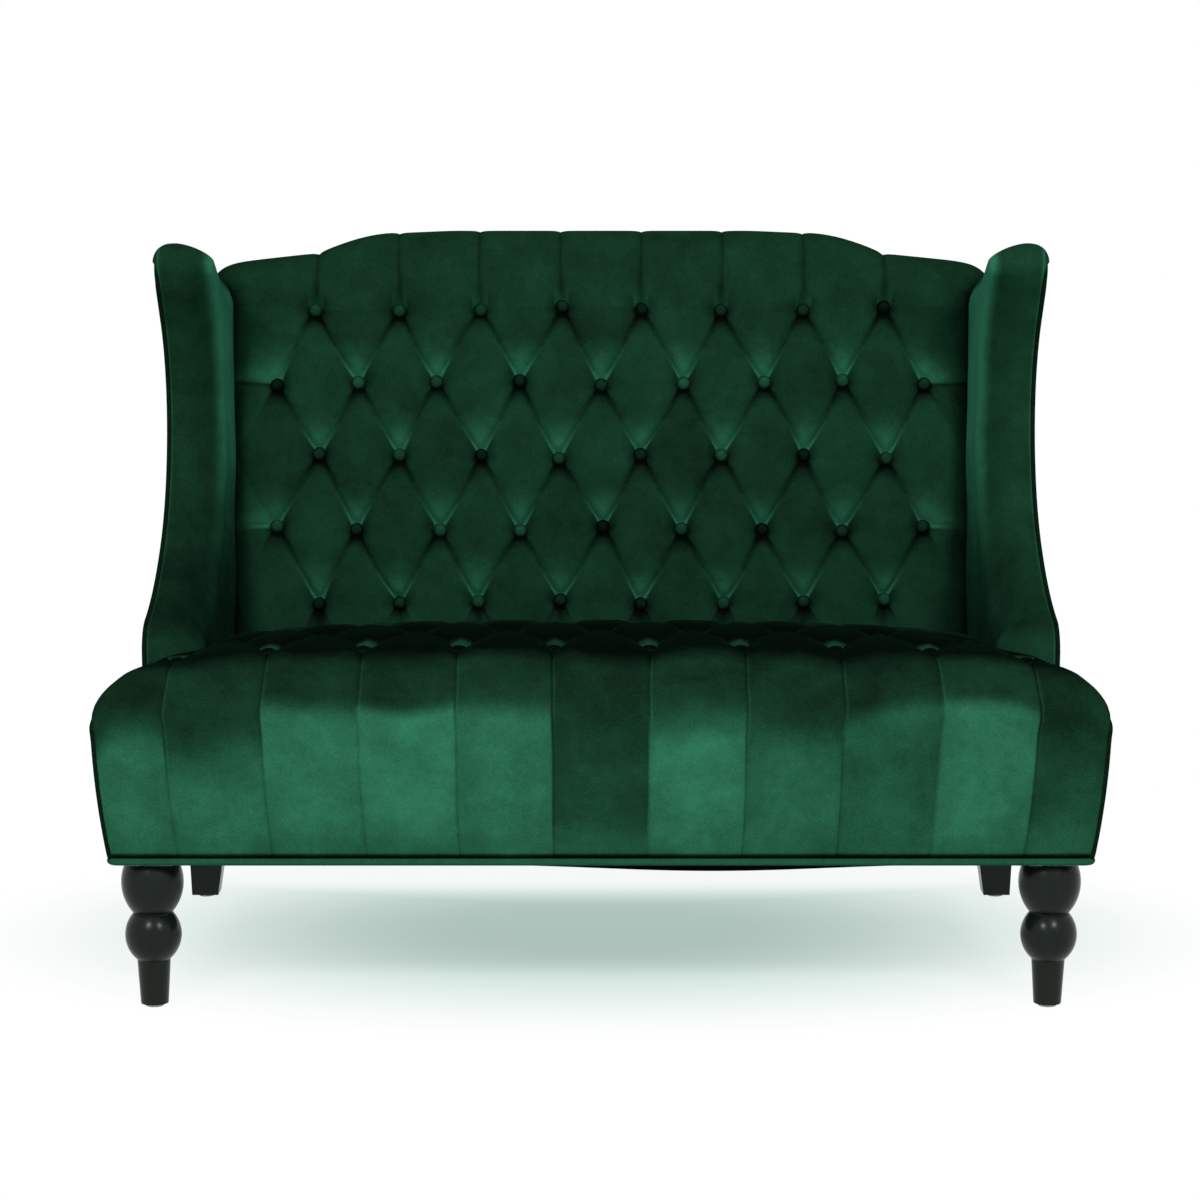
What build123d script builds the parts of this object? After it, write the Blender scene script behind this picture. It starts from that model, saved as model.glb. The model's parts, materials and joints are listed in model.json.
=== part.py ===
from build123d import *
import os
from math import cos, sin, tan, radians

os.makedirs("parts", exist_ok=True)

# Tufted loveseat in millimetres. X runs to the right as seen from the front,
# the front faces -Y, Z is up, and the origin is on the floor under the middle.

# Overall sizes
DEPTH = 730.0
HEIGHT = 965.0
FRAME_BOTTOM = 190.0
RECLINE = 6.0
SEAT_PITCH = 5.0

# Frame timber
TIMBER = 25.0
RAIL_HEIGHT = 100.0
FRAME_HALF_WIDTH = 587.0
FRONT_RAIL_FACE = -325.0
REAR_RAIL_FACE = 175.0
STRETCHER_HEIGHT = 50.0
CORNER_LEG = 70.0
CORNER_HEIGHT = 60.0
STILE_X = 180.0
CREST_RAIL_DEPTH = 70.0
LOWER_RAIL_FROM = 112.0
LOWER_RAIL_TO = 172.0

# Back layers, measured along the back's own depth
WEB_T = 2.0
WEB_WIDTH = 50.0
HESSIAN_T = 1.0
BACK_FOAM_T = 40.0
COVER_T = 15.0
TOP_COVER_T = 12.0
OUTSIDE_T = 6.0
CREST_FLAT = 265.0
CREST_DROP = 34.0
SHOULDER_X = 410.0
SHOULDER_FALL = 12.0
BACK_HALF_WIDTH = 520.0
BACK_COVER_FROM = 130.0

# Back tufting
BACK_PITCH_X = 114.4
BACK_PITCH_Z = 103.5
BACK_ROW_ONE = 664.0
BACK_ROWS = 5
BACK_COLUMNS = 8
BACK_PUFF = 24.0

# Seat
SEAT_TOP = 432.0
SEAT_TOP_AT = -300.0
SEAT_COVER_T = 20.0
SEAT_COVER_BOTTOM = 200.0
SEAT_FRONT_LOW = -347.0
SEAT_FRONT_ROLL = 58.0
EAR_LOW = 609.0
EAR_WIDE = 622.0
EAR_HIGH = 398.0
EAR_TOP = 440.0
EAR_SHOULDER = 545.0
EAR_ROLL = 42.0
EAR_SHOULDER_ROLL = 90.0
EAR_CAVITY = 580.0
SEAT_REAR = 184.0
SEAT_PITCH_X = 119.4
SEAT_PITCH_Y = 100.0
SEAT_ROW_ONE = -245.0
SEAT_COLUMNS = 10
SEAT_PUFF = 27.0
CHANNEL_PUFF = 6.0
PUFF_SINK = 2.0
PLEAT_GAP = 1.6

# Buttons
BUTTON_R = 9.5
BUTTON_H = 7.0
BUTTON_SEAT = 1.0

# Wings
WING_INNER = 520.0
WING_PAD_WRAP = 20.0
WING_PANEL_T = 8.0
ARM_FRONT = -158.0
ARM_RISE = 430.0
ARM_ROLL = 41.0
ARM_TURN = 74.0
WING_SWEEP_Y = 30.0
WING_SWEEP_Z = 555.0
WING_WAIST_Y = 108.0
WING_WAIST_Z = 714.0
WING_NECK_Y = 62.0
WING_NECK_Z = 850.0
WING_TIP_Y = -29.0
WING_TIP_Z = 959.0
WING_TIP_ROLL = 25.0
WING_REAR_Z = 910.0
WING_INNER_ROLL = 22.0
WING_ROLL_RISE = 20.0

# Welts
WELT_R = 4.0
BASE_WELT_R = 4.5

# Front legs, radius and height of each turn
LEG_X = 565.5
LEG_Y = -300.0
LEG_TOP_R = 33.0
UPPER_BULB_R = 39.0
UPPER_BULB_Z = 156.0
NECK_R = 25.5
NECK_Z = 121.0
NECK_RING_R = 23.5
NECK_RING_H = 2.5
LOWER_BULB_R = 35.5
LOWER_BULB_Z = 91.0
ANKLE_R = 21.0
ANKLE_Z = 61.0
FOOT_R = 17.5
LEG_PLATE = 60.0
LEG_PLATE_T = 3.0
STUD_R = 4.0
STUD_INTO_LEG = 30.0
STUD_INTO_FRAME = 20.0

# Rear legs
REAR_LEG_OUTER = 597.0
REAR_LEG_TOP_WIDTH = 70.0
REAR_LEG_FOOT_WIDTH = 38.0
REAR_LEG_TOP_DEPTH = 50.0
REAR_LEG_FOOT_DEPTH = 37.0
REAR_FOOT_FRONT = 284.0
REAR_STUD_HALF = 55.0

# Glides
GLIDE_H = 4.0
GLIDE_R = 12.0

# Springs, deck and dust cover
SPRING_WIRE_R = 2.0
SPRING_COUNT = 8
SPRING_SPACING = 132.0
SPRING_TURNS = 20
SPRING_HALF_RUN = 14.0
CLIP_H = 10.0
CLIP_DEPTH = 14.0
CLIP_WIDTH = 22.0
DECK_T = 1.5
DUST_T = 1.0
DUST_NOTCH = 84.0
DUST_REAR_NOTCH = 56.0

# Frame screws
SCREW_R = 2.5
SCREW_HEAD_R = 5.0
SCREW_HEAD_H = 3.0
SCREW_LENGTH = 45.0

# Clearances
CURVE_GAP = 0.3
HOLE_GAP = 0.3

# Values that follow from the ones above
RAIL_TOP = FRAME_BOTTOM + RAIL_HEIGHT
DECK_TOP = RAIL_TOP + CLIP_H + DECK_T
FRAME_INNER = FRAME_HALF_WIDTH - TIMBER
HESSIAN_FRONT = -2 * WEB_T - HESSIAN_T
FOAM_FRONT = HESSIAN_FRONT - BACK_FOAM_T
BACK_FACE = FOAM_FRONT - COVER_T
LEAN_COS = cos(radians(RECLINE))
LEAN_SIN = sin(radians(RECLINE))
BACK_TOP = (HEIGHT - FRAME_BOTTOM + (BACK_FACE - BACK_PUFF) * LEAN_SIN) / LEAN_COS
OUTSIDE_TOP = BACK_TOP - WEB_T
BACK_PIVOT_Y = DEPTH / 2 - (TIMBER + OUTSIDE_T) * LEAN_COS - OUTSIDE_TOP * LEAN_SIN
BACK = Pos(0, BACK_PIVOT_Y, FRAME_BOTTOM) * Rot(-RECLINE, 0, 0)
SEAT_SLOPE = tan(radians(SEAT_PITCH))
SEAT_FRONT_TOP = -DEPTH / 2 + CHANNEL_PUFF - PUFF_SINK
POST_TOP = (WING_REAR_Z - FRAME_BOTTOM) / LEAN_COS - WING_PAD_WRAP
CREST_RAIL_SIDE = BACK_TOP - TOP_COVER_T - CREST_DROP - SHOULDER_FALL
CREST_RAIL_LOW = CREST_RAIL_SIDE - CREST_RAIL_DEPTH
EAR_BACK = ARM_FRONT - CURVE_GAP
BIG = 2000.0


def block(x0, x1, y0, y1, z0, z1):
    """A box between two corners."""
    centre = Pos((x0 + x1) / 2, (y0 + y1) / 2, (z0 + z1) / 2)
    return centre * Box(x1 - x0, y1 - y0, z1 - z0)


def pair(part):
    """The right-hand piece and its mirror image on the left."""
    return part, mirror(part, about=Plane.YZ)


def back_yz(depth, height):
    """World Y and Z of a place in the back's own frame."""
    y = BACK_PIVOT_Y + depth * LEAN_COS + height * LEAN_SIN
    z = FRAME_BOTTOM - depth * LEAN_SIN + height * LEAN_COS
    return y, z


def seat_z(y):
    """Height of the seat plane, which falls towards the back."""
    return SEAT_TOP - (y - SEAT_TOP_AT) * SEAT_SLOPE


def yz_face(points):
    """A flat face from Y and Z corners, standing in the plane X = 0."""
    corners = [(0, y, z) for y, z in points]
    return make_face(Polyline(corners, close=True))


def along_x(face, x0, x1):
    """Extrude a face that stands in X = 0 from x0 to x1."""
    return Pos(x0, 0, 0) * extrude(face, amount=x1 - x0, dir=(1, 0, 0))


def group(solids):
    """Separate solids that make one node."""
    return Compound(children=list(solids))


# Tufting

def puff_section(half_width, height, y):
    """One rib of a puff: a flat base closed by an arc."""
    base = Line((-half_width, y, 0), (half_width, y, 0))
    crown = ThreePointArc((half_width, y, 0), (0, y, height), (-half_width, y, 0))
    return make_face([base, crown])


def half_puff(half_width, half_length, height):
    """Half of a diamond puff, from its widest rib to its point at +Y."""
    widest = puff_section(half_width, height, 0)
    middle = puff_section(half_width / 2, 0.78 * height, half_length / 2)
    return loft([widest, middle, Vertex(0, half_length, 0)])


def sunk(puff):
    """Lower a puff a little so that it grows out of the panel below it."""
    return Pos(0, 0, -PUFF_SINK) * puff


def puff_pair(pitch_x, pitch_y, height):
    """The two halves of a diamond puff that fills one cell of the tufting."""
    half_width = pitch_x / 2 - PLEAT_GAP
    half_length = pitch_y - PLEAT_GAP * pitch_y / (pitch_x / 2)
    upper = sunk(half_puff(half_width, half_length, height + PUFF_SINK))
    lower = Rot(0, 0, 180) * upper
    return upper, lower


def button_solid():
    """A covered button: a short drum with a rounded top, standing on Z = 0."""
    rim = 0.45 * BUTTON_H
    flat = 0.3 * BUTTON_R
    outline = [
        Line((0, 0, 0), (BUTTON_R, 0, 0)),
        Line((BUTTON_R, 0, 0), (BUTTON_R, 0, rim)),
        ThreePointArc((BUTTON_R, 0, rim), (0.75 * BUTTON_R, 0, 0.82 * BUTTON_H), (flat, 0, BUTTON_H)),
        Line((flat, 0, BUTTON_H), (0, 0, BUTTON_H)),
        Line((0, 0, BUTTON_H), (0, 0, 0)),
    ]
    return revolve(make_face(outline), Axis.Z)


# Front legs

def front_leg():
    """A turned leg of two bulbs and a tapering foot."""
    top = FRAME_BOTTOM - LEG_PLATE_T
    ring_low = NECK_Z - NECK_RING_H / 2
    ring_high = NECK_Z + NECK_RING_H / 2
    outline = [
        Line((0, 0, top), (LEG_TOP_R, 0, top)),
        ThreePointArc((LEG_TOP_R, 0, top), (UPPER_BULB_R, 0, UPPER_BULB_Z), (NECK_R, 0, ring_high)),
        Line((NECK_R, 0, ring_high), (NECK_RING_R, 0, ring_high)),
        Line((NECK_RING_R, 0, ring_high), (NECK_RING_R, 0, ring_low)),
        Line((NECK_RING_R, 0, ring_low), (NECK_R, 0, ring_low)),
        ThreePointArc((NECK_R, 0, ring_low), (LOWER_BULB_R, 0, LOWER_BULB_Z), (ANKLE_R, 0, ANKLE_Z)),
        Line((ANKLE_R, 0, ANKLE_Z), (FOOT_R, 0, GLIDE_H)),
        Line((FOOT_R, 0, GLIDE_H), (0, 0, GLIDE_H)),
        Line((0, 0, GLIDE_H), (0, 0, top)),
    ]
    turned = revolve(make_face(outline), Axis.Z)
    bore = Pos(0, 0, top - STUD_INTO_LEG / 2) * Cylinder(STUD_R + HOLE_GAP, STUD_INTO_LEG)
    return Pos(LEG_X, LEG_Y, 0) * (turned - bore)


def front_stud():
    """The threaded stud between a front leg and the frame."""
    low = FRAME_BOTTOM - LEG_PLATE_T - STUD_INTO_LEG
    high = FRAME_BOTTOM + STUD_INTO_FRAME
    return Pos(LEG_X, LEG_Y, (low + high) / 2) * Cylinder(STUD_R, high - low)


def leg_plate():
    """The steel plate that carries a front leg's stud."""
    middle = FRAME_BOTTOM - LEG_PLATE_T / 2
    plate = Pos(LEG_X, LEG_Y, middle) * Box(LEG_PLATE, LEG_PLATE, LEG_PLATE_T)
    return plate - Pos(LEG_X, LEG_Y, middle) * Cylinder(STUD_R + HOLE_GAP, LEG_PLATE_T)


def front_stud_bore():
    """The hole that the stud needs in the rails."""
    middle = FRAME_BOTTOM + STUD_INTO_FRAME / 2
    return Pos(LEG_X, LEG_Y, middle) * Cylinder(STUD_R + HOLE_GAP, STUD_INTO_FRAME)


# Rear legs

POST_REAR_LOW = back_yz(TIMBER, 0)[0]
REAR_FOOT_X = REAR_LEG_OUTER - REAR_LEG_FOOT_WIDTH / 2
REAR_FOOT_Y = REAR_FOOT_FRONT + REAR_LEG_FOOT_DEPTH / 2
REAR_STUD_X = FRAME_INNER - TIMBER / 2
REAR_STUD_Y = back_yz(TIMBER / 2, REAR_STUD_HALF / 2)[0]


def rear_stud(radius):
    """The vertical stud between a rear leg and its post."""
    return Pos(REAR_STUD_X, REAR_STUD_Y, FRAME_BOTTOM) * Cylinder(radius, 2 * REAR_STUD_HALF)


def rear_leg():
    """A square leg that tapers on its inner side and rakes back to the floor."""
    top_x = REAR_LEG_OUTER - REAR_LEG_TOP_WIDTH / 2
    top_y = POST_REAR_LOW - REAR_LEG_TOP_DEPTH / 2
    top = Pos(top_x, top_y, FRAME_BOTTOM) * Rectangle(REAR_LEG_TOP_WIDTH, REAR_LEG_TOP_DEPTH)
    foot = Pos(REAR_FOOT_X, REAR_FOOT_Y, GLIDE_H) * Rectangle(REAR_LEG_FOOT_WIDTH, REAR_LEG_FOOT_DEPTH)
    return loft([foot, top], ruled=True) - rear_stud(STUD_R + HOLE_GAP)


def glide(x, y):
    """A round glide under a foot."""
    disc = Pos(x, y, GLIDE_H / 2) * Cylinder(GLIDE_R, GLIDE_H)
    return chamfer(disc.edges().group_by(Axis.Z)[0], GLIDE_H / 4)


# Wing shape

def wing_outline(drop):
    """The outline of a wing and arm seen from the side, its top lowered by a drop."""
    low = FRAME_BOTTOM - WING_PAD_WRAP
    rear_low_y, _ = back_yz(TIMBER + WING_PAD_WRAP, (low - FRAME_BOTTOM) / LEAN_COS)
    rear_top_y, _ = back_yz(TIMBER + WING_PAD_WRAP, (WING_REAR_Z - FRAME_BOTTOM) / LEAN_COS)
    turn = radians(ARM_TURN)
    arm_start = (0, ARM_FRONT, ARM_RISE)
    arm_end = (0, ARM_FRONT + ARM_ROLL * (1 - cos(turn)), ARM_RISE + ARM_ROLL * sin(turn))
    sweep_point = (0, WING_SWEEP_Y, WING_SWEEP_Z)
    waist = (0, WING_WAIST_Y, WING_WAIST_Z)
    neck = (0, WING_NECK_Y, WING_NECK_Z)
    lean_left = 1 - drop / (WING_TIP_Z - WING_NECK_Z)
    tip = (0, WING_NECK_Y + lean_left * (WING_TIP_Y - WING_NECK_Y), WING_TIP_Z - drop)
    rear_top = (0, rear_top_y, WING_REAR_Z - drop)
    front = Line((0, ARM_FRONT, low), arm_start)
    roll = TangentArc(arm_start, arm_end, tangent=(0, 0, 1))
    sweep_low = TangentArc(arm_end, sweep_point, tangent=roll % 1)
    sweep_up = TangentArc(sweep_point, waist, tangent=sweep_low % 1)
    sweep_out = TangentArc(waist, neck, tangent=sweep_up % 1)
    lean = Line(neck, tip)
    top = Line(tip, rear_top)
    rear = Line(rear_top, (0, rear_low_y, low))
    bottom = Line((0, rear_low_y, low), (0, ARM_FRONT, low))
    face = make_face([front, roll, sweep_low, sweep_up, sweep_out, lean, top, rear, bottom])
    tip_vertex = face.vertices().sort_by(Axis.Z)[-1]
    return fillet(tip_vertex, WING_TIP_ROLL)


WING_FACE = wing_outline(0)
PANEL_FACE = wing_outline(WING_ROLL_RISE)


def in_front_of_back(depth):
    """Everything ahead of one depth in the back's own frame."""
    return BACK * block(-BIG, BIG, -BIG, depth, -BIG, BIG)


def above(z):
    """Everything above one height."""
    return block(-BIG, BIG, -BIG, BIG, z, BIG)


def wing_slice(outline, inset, x0, x1, low, depth):
    """A slab of a wing outline drawn in by an inset and trimmed below and behind."""
    face = offset(outline, amount=-inset) if inset else outline
    slab = along_x(face, x0, x1)
    return slab & above(low) & in_front_of_back(depth)


def wing_frame():
    """The timber wing that stands on the side rail."""
    return wing_slice(WING_FACE, WING_PAD_WRAP, FRAME_INNER, FRAME_HALF_WIDTH, RAIL_TOP, TIMBER)


def wing_pad():
    """The pad inside the wing that wraps its front edge."""
    slab = wing_slice(WING_FACE, 0, WING_INNER, FRAME_HALF_WIDTH, DECK_TOP, TIMBER)
    inner_edges = slab.edges().filter_by(lambda e: abs(e.center().X - WING_INNER) < 0.1)
    raised_edges = inner_edges.filter_by(lambda e: e.center().Z > DECK_TOP + 1)
    soft_edges = raised_edges.filter_by(lambda e: e.center().Y < WING_WAIST_Y + 20)
    slab = fillet(soft_edges, WING_INNER_ROLL)
    core = wing_slice(WING_FACE, WING_PAD_WRAP, FRAME_INNER, FRAME_HALF_WIDTH + 1, RAIL_TOP - 1, TIMBER + 1)
    pocket_top = max(POST_TOP, CREST_RAIL_SIDE) + CURVE_GAP
    pocket = BACK * block(0, FRAME_INNER, HESSIAN_FRONT - 1, BIG, -BIG, pocket_top)
    return slab - core - pocket


def side_panel():
    """The board that closes the outside of a wing and arm."""
    outer = FRAME_HALF_WIDTH + WING_PANEL_T
    return wing_slice(PANEL_FACE, 2 * WELT_R, FRAME_HALF_WIDTH, outer, SEAT_COVER_BOTTOM, TIMBER)


def wing_welt():
    """The welt along the outer front edge and top of a wing."""
    ring = offset(PANEL_FACE, amount=-WELT_R).wire()
    rear_limit = WING_WAIST_Y + 4 * ARM_ROLL
    path_edges = [e for e in ring.edges() if e.center().Y < rear_limit and e.center().Z > FRAME_BOTTOM]
    path = Wire(path_edges)
    start = path @ 0
    section = Plane(origin=start, z_dir=path % 0) * Circle(WELT_R - CURVE_GAP)
    tube = sweep(section, path=path)
    placed = Pos(FRAME_HALF_WIDTH + WELT_R, 0, 0) * tube
    return placed & above(SEAT_COVER_BOTTOM) & in_front_of_back(TIMBER)


# Seat shape

def seat_corner():
    """Where the seat plane and the front face would meet."""
    lean = (SEAT_FRONT_TOP - SEAT_FRONT_LOW) / (SEAT_TOP - SEAT_FRONT_ROLL - SEAT_COVER_BOTTOM)
    y = SEAT_FRONT_TOP
    for _ in range(6):
        y = SEAT_FRONT_LOW + lean * (seat_z(y) - SEAT_COVER_BOTTOM)
    return y, seat_z(y)


def seat_body():
    """The outside of the seat: a deep front with two ears and a narrower part between the wings."""
    corner = seat_corner()
    rear = (SEAT_REAR, seat_z(SEAT_REAR))
    profile = yz_face([(SEAT_FRONT_LOW, SEAT_COVER_BOTTOM), corner, rear, (SEAT_REAR, SEAT_COVER_BOTTOM)])
    front_vertex = profile.vertices().sort_by(lambda v: v.Y - v.Z)[0]
    profile = fillet(front_vertex, SEAT_FRONT_ROLL)
    long_body = along_x(profile, -BIG / 2, BIG / 2)
    right_side = [(EAR_LOW, SEAT_COVER_BOTTOM), (EAR_WIDE, EAR_HIGH), (EAR_SHOULDER, EAR_TOP)]
    left_side = [(-x, z) for x, z in reversed(right_side)]
    corners = [(x, 0, z) for x, z in right_side + left_side]
    front = make_face(Polyline(corners, close=True))
    front = fillet(front.vertices().filter_by(lambda v: abs(v.Z - EAR_HIGH) < 1), EAR_ROLL)
    front = fillet(front.vertices().filter_by(lambda v: abs(v.Z - EAR_TOP) < 1), EAR_SHOULDER_ROLL)
    ears = Pos(0, EAR_BACK, 0) * extrude(front, amount=BIG / 2, dir=(0, -1, 0))
    middle = block(-WING_INNER + CURVE_GAP, WING_INNER - CURVE_GAP, EAR_BACK - 1, BIG, 0, BIG)
    return (long_body & ears) + (long_body & middle)


def seat_core(gap):
    """The room under the seat cover, drawn in by a gap."""
    front = FRONT_RAIL_FACE + gap
    rear = SEAT_REAR - gap
    depth = SEAT_COVER_T + gap
    front_top = (front, seat_z(front) - depth)
    rear_top = (rear, seat_z(rear) - depth)
    profile = yz_face([(front, DECK_TOP), front_top, rear_top, (rear, DECK_TOP)])
    ahead_of_arms = block(-BIG, BIG, -BIG, EAR_BACK - gap, 0, BIG)
    wide = along_x(profile, -EAR_CAVITY + gap, EAR_CAVITY - gap) & ahead_of_arms
    half = WING_INNER - CURVE_GAP
    return wide + (along_x(profile, -half, half) & block(-BIG, BIG, EAR_BACK - 2, BIG, 0, BIG))


def seat_places():
    """Rows of button places on the seat as X and Y, front row first."""
    rows = []
    for row in range(4):
        count = SEAT_COLUMNS - (1 if row % 2 else 2 * (row // 2))
        y = SEAT_ROW_ONE + row * SEAT_PITCH_Y * cos(radians(SEAT_PITCH))
        rows.append([((i - (count - 1) / 2) * SEAT_PITCH_X, y) for i in range(count)])
    return rows


def on_seat(x, y, lift):
    """A place on the tilted seat plane."""
    return Pos(x, y, seat_z(y)) * Rot(-SEAT_PITCH, 0, 0) * Pos(0, 0, lift)


def seat_puffs():
    """The diamond puffs of the seat top, lower towards the sides."""
    puffs = []
    rows = seat_places()
    for row, places in enumerate(rows):
        for (x0, y), (x1, _) in zip(places, places[1:]):
            middle = (x0 + x1) / 2
            height = SEAT_PUFF * (1 - 0.45 * (middle / WING_INNER) ** 2)
            rear_half, front_half = puff_pair(SEAT_PITCH_X, SEAT_PITCH_Y, height)
            puffs.append(on_seat(middle, y, 0) * rear_half)
            if row > 0:
                puffs.append(on_seat(middle, y, 0) * front_half)
    return puffs


def seat_channels():
    """The upright puffs between the pleats of the seat front."""
    start = (0, SEAT_ROW_ONE, seat_z(SEAT_ROW_ONE))
    corner_y, corner_z = seat_corner()
    end = (0, SEAT_FRONT_LOW, SEAT_COVER_BOTTOM)
    path = FilletPolyline(start, (0, corner_y, corner_z), end, radius=SEAT_FRONT_ROLL)
    half = SEAT_PITCH_X / 2 - PLEAT_GAP
    channels = []
    first_row = seat_places()[0]
    for (x0, _), (x1, _) in zip(first_row, first_row[1:]):
        middle = (x0 + x1) / 2
        plane = Plane(origin=start, x_dir=(1, 0, 0), z_dir=path % 0)
        base = Line((-half, PUFF_SINK), (half, PUFF_SINK))
        crown = ThreePointArc((half, PUFF_SINK), (0, -CHANNEL_PUFF + PUFF_SINK), (-half, PUFF_SINK))
        section = make_face([base, crown])
        up = plane.y_dir.Z
        placed = plane * section if up < 0 else plane * mirror(section, about=Plane.XZ)
        channels.append(Pos(middle, 0, 0) * sweep(placed, path=path))
    return channels


def seat_cover():
    """The tufted seat panel with its wadding."""
    shell = seat_body() - seat_core(0) - block(-EAR_CAVITY, EAR_CAVITY, FRONT_RAIL_FACE, BIG, 0, DECK_TOP + 1)
    shell = shell - block(-FRAME_HALF_WIDTH, FRAME_HALF_WIDTH, FRONT_RAIL_FACE, EAR_BACK + 1, 0, RAIL_TOP + 1)
    cover = shell + seat_puffs() + seat_channels()
    pocket = Pos(0, 0, SEAT_PUFF / 2) * Cylinder(BUTTON_R + CURVE_GAP, SEAT_PUFF)
    pockets = []
    for places in seat_places():
        pockets += [on_seat(x, y, -BUTTON_SEAT) * pocket for x, y in places]
    return cover - pockets


# Back shape

def back_outline(half_width, top, low):
    """The outline of the back seen from the front, higher in the middle."""
    shoulder = top - CREST_DROP
    middle_x = (CREST_FLAT + SHOULDER_X) / 2
    middle_z = (top + shoulder) / 2
    side_x = min(half_width, BACK_HALF_WIDTH)
    side_z = shoulder - SHOULDER_FALL * (side_x - SHOULDER_X) / (BACK_HALF_WIDTH - SHOULDER_X)
    fall = TangentArc((CREST_FLAT, 0, top), (middle_x, 0, middle_z), tangent=(1, 0, 0))
    ease = TangentArc((middle_x, 0, middle_z), (SHOULDER_X, 0, shoulder), tangent=fall % 1)
    slope = Line((SHOULDER_X, 0, shoulder), (side_x, 0, side_z))
    side = Line((half_width, 0, side_z), (half_width, 0, low))
    right = [fall, ease, slope, side]
    if half_width > side_x:
        right.append(Line((side_x, 0, side_z), (half_width, 0, side_z)))
    left = [mirror(edge, about=Plane.YZ) for edge in right]
    crest = Line((-CREST_FLAT, 0, top), (CREST_FLAT, 0, top))
    base = Line((half_width, 0, low), (-half_width, 0, low))
    return make_face([crest] + right + [base] + left)


def back_slab(half_width, top, low, near, far):
    """A slab of the back between two depths."""
    face = back_outline(half_width, top, low)
    return Pos(0, near, 0) * extrude(face, amount=far - near, dir=(0, 1, 0))


def crest_height(x):
    """Height of the back's crest at one X."""
    shoulder = BACK_TOP - CREST_DROP
    across = abs(x)
    if across <= CREST_FLAT:
        return BACK_TOP
    if across >= SHOULDER_X:
        return shoulder - SHOULDER_FALL * (across - SHOULDER_X) / (BACK_HALF_WIDTH - SHOULDER_X)
    part = (across - CREST_FLAT) / (SHOULDER_X - CREST_FLAT)
    return BACK_TOP - CREST_DROP * part * part * (3 - 2 * part)


def back_places():
    """Rows of button places on the back as X and height, top row first."""
    rows = []
    for row in range(BACK_ROWS):
        count = BACK_COLUMNS + row % 2
        z = BACK_ROW_ONE - row * BACK_PITCH_Z
        rows.append([((i - (count - 1) / 2) * BACK_PITCH_X, z) for i in range(count)])
    return rows


def on_back(x, z, lift):
    """A place on the back's face, with +Z pointing out of the face and +Y up the back."""
    return Pos(x, BACK_FACE, z) * Rot(90, 0, 0) * Pos(0, 0, lift)


def back_puffs():
    """The diamond puffs of the back."""
    upper_half, lower_half = puff_pair(BACK_PITCH_X, BACK_PITCH_Z, BACK_PUFF)
    puffs = []
    for row, places in enumerate(back_places()):
        centres = [(x0 + x1) / 2 for (x0, _), (x1, _) in zip(places, places[1:])]
        if row % 2 == 0:
            centres = [places[0][0] - BACK_PITCH_X / 2] + centres + [places[-1][0] + BACK_PITCH_X / 2]
        z = places[0][1]
        for x in centres:
            if row > 0:
                puffs.append(on_back(x, z, 0) * upper_half)
            if row < BACK_ROWS - 1:
                puffs.append(on_back(x, z, 0) * lower_half)
    return puffs


def crest_channels():
    """The upright puffs between the pleats above the first row, cut to the crest."""
    half = BACK_PITCH_X / 2 - PLEAT_GAP
    section = puff_section(half, BACK_PUFF + PUFF_SINK, 0)
    rise = BACK_TOP - BACK_ROW_ONE
    limit = back_slab(BACK_HALF_WIDTH - CURVE_GAP, BACK_TOP, BACK_COVER_FROM, BACK_FACE - BIG / 10, TIMBER)
    first_row = back_places()[0]
    centres = [x + BACK_PITCH_X / 2 for x, _ in first_row]
    centres = [first_row[0][0] - BACK_PITCH_X / 2] + centres
    channels = []
    for x in centres:
        strip = on_back(x, BACK_ROW_ONE, -PUFF_SINK) * extrude(section, amount=rise, dir=(0, 1, 0))
        channels.append(strip & limit)
    return channels


def crest_pleats():
    """Cuts that carry the pleats over the top of the back."""
    cuts = []
    for x, _ in back_places()[0]:
        top = crest_height(x)
        low = top - 2 * PLEAT_GAP
        cuts.append(block(x - PLEAT_GAP, x + PLEAT_GAP, BACK_FACE - 1, BIG / 10, low, top + 10))
    return cuts


def back_button_spots(lift):
    """A location on the back's face for each button."""
    return [on_back(x, z, lift) for places in back_places() for x, z in places]


def back_cover():
    """The tufted back panel with its wadding, rolled over the crest."""
    half = BACK_HALF_WIDTH - CURVE_GAP
    outer = back_slab(half, BACK_TOP, BACK_COVER_FROM, BACK_FACE, TIMBER)
    inner = back_slab(half + 5, BACK_TOP - TOP_COVER_T, BACK_COVER_FROM - 5, FOAM_FRONT, TIMBER + 5)
    cover = (outer - inner) + back_puffs() + crest_channels()
    pocket = Pos(0, 0, BACK_PUFF / 2 + 2) * Cylinder(BUTTON_R + CURVE_GAP, BACK_PUFF + 4)
    pockets = [spot * pocket for spot in back_button_spots(-BUTTON_SEAT)]
    return BACK * (cover - pockets - crest_pleats())


def back_foam():
    """The foam of the back."""
    half = BACK_HALF_WIDTH - CURVE_GAP
    return BACK * back_slab(half, BACK_TOP - TOP_COVER_T, BACK_COVER_FROM, FOAM_FRONT, HESSIAN_FRONT)


def back_hessian():
    """The cloth that carries the back foam."""
    half = BACK_HALF_WIDTH - CURVE_GAP
    top = BACK_TOP - TOP_COVER_T
    return BACK * back_slab(half, top, BACK_COVER_FROM, HESSIAN_FRONT, HESSIAN_FRONT + HESSIAN_T)


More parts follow.
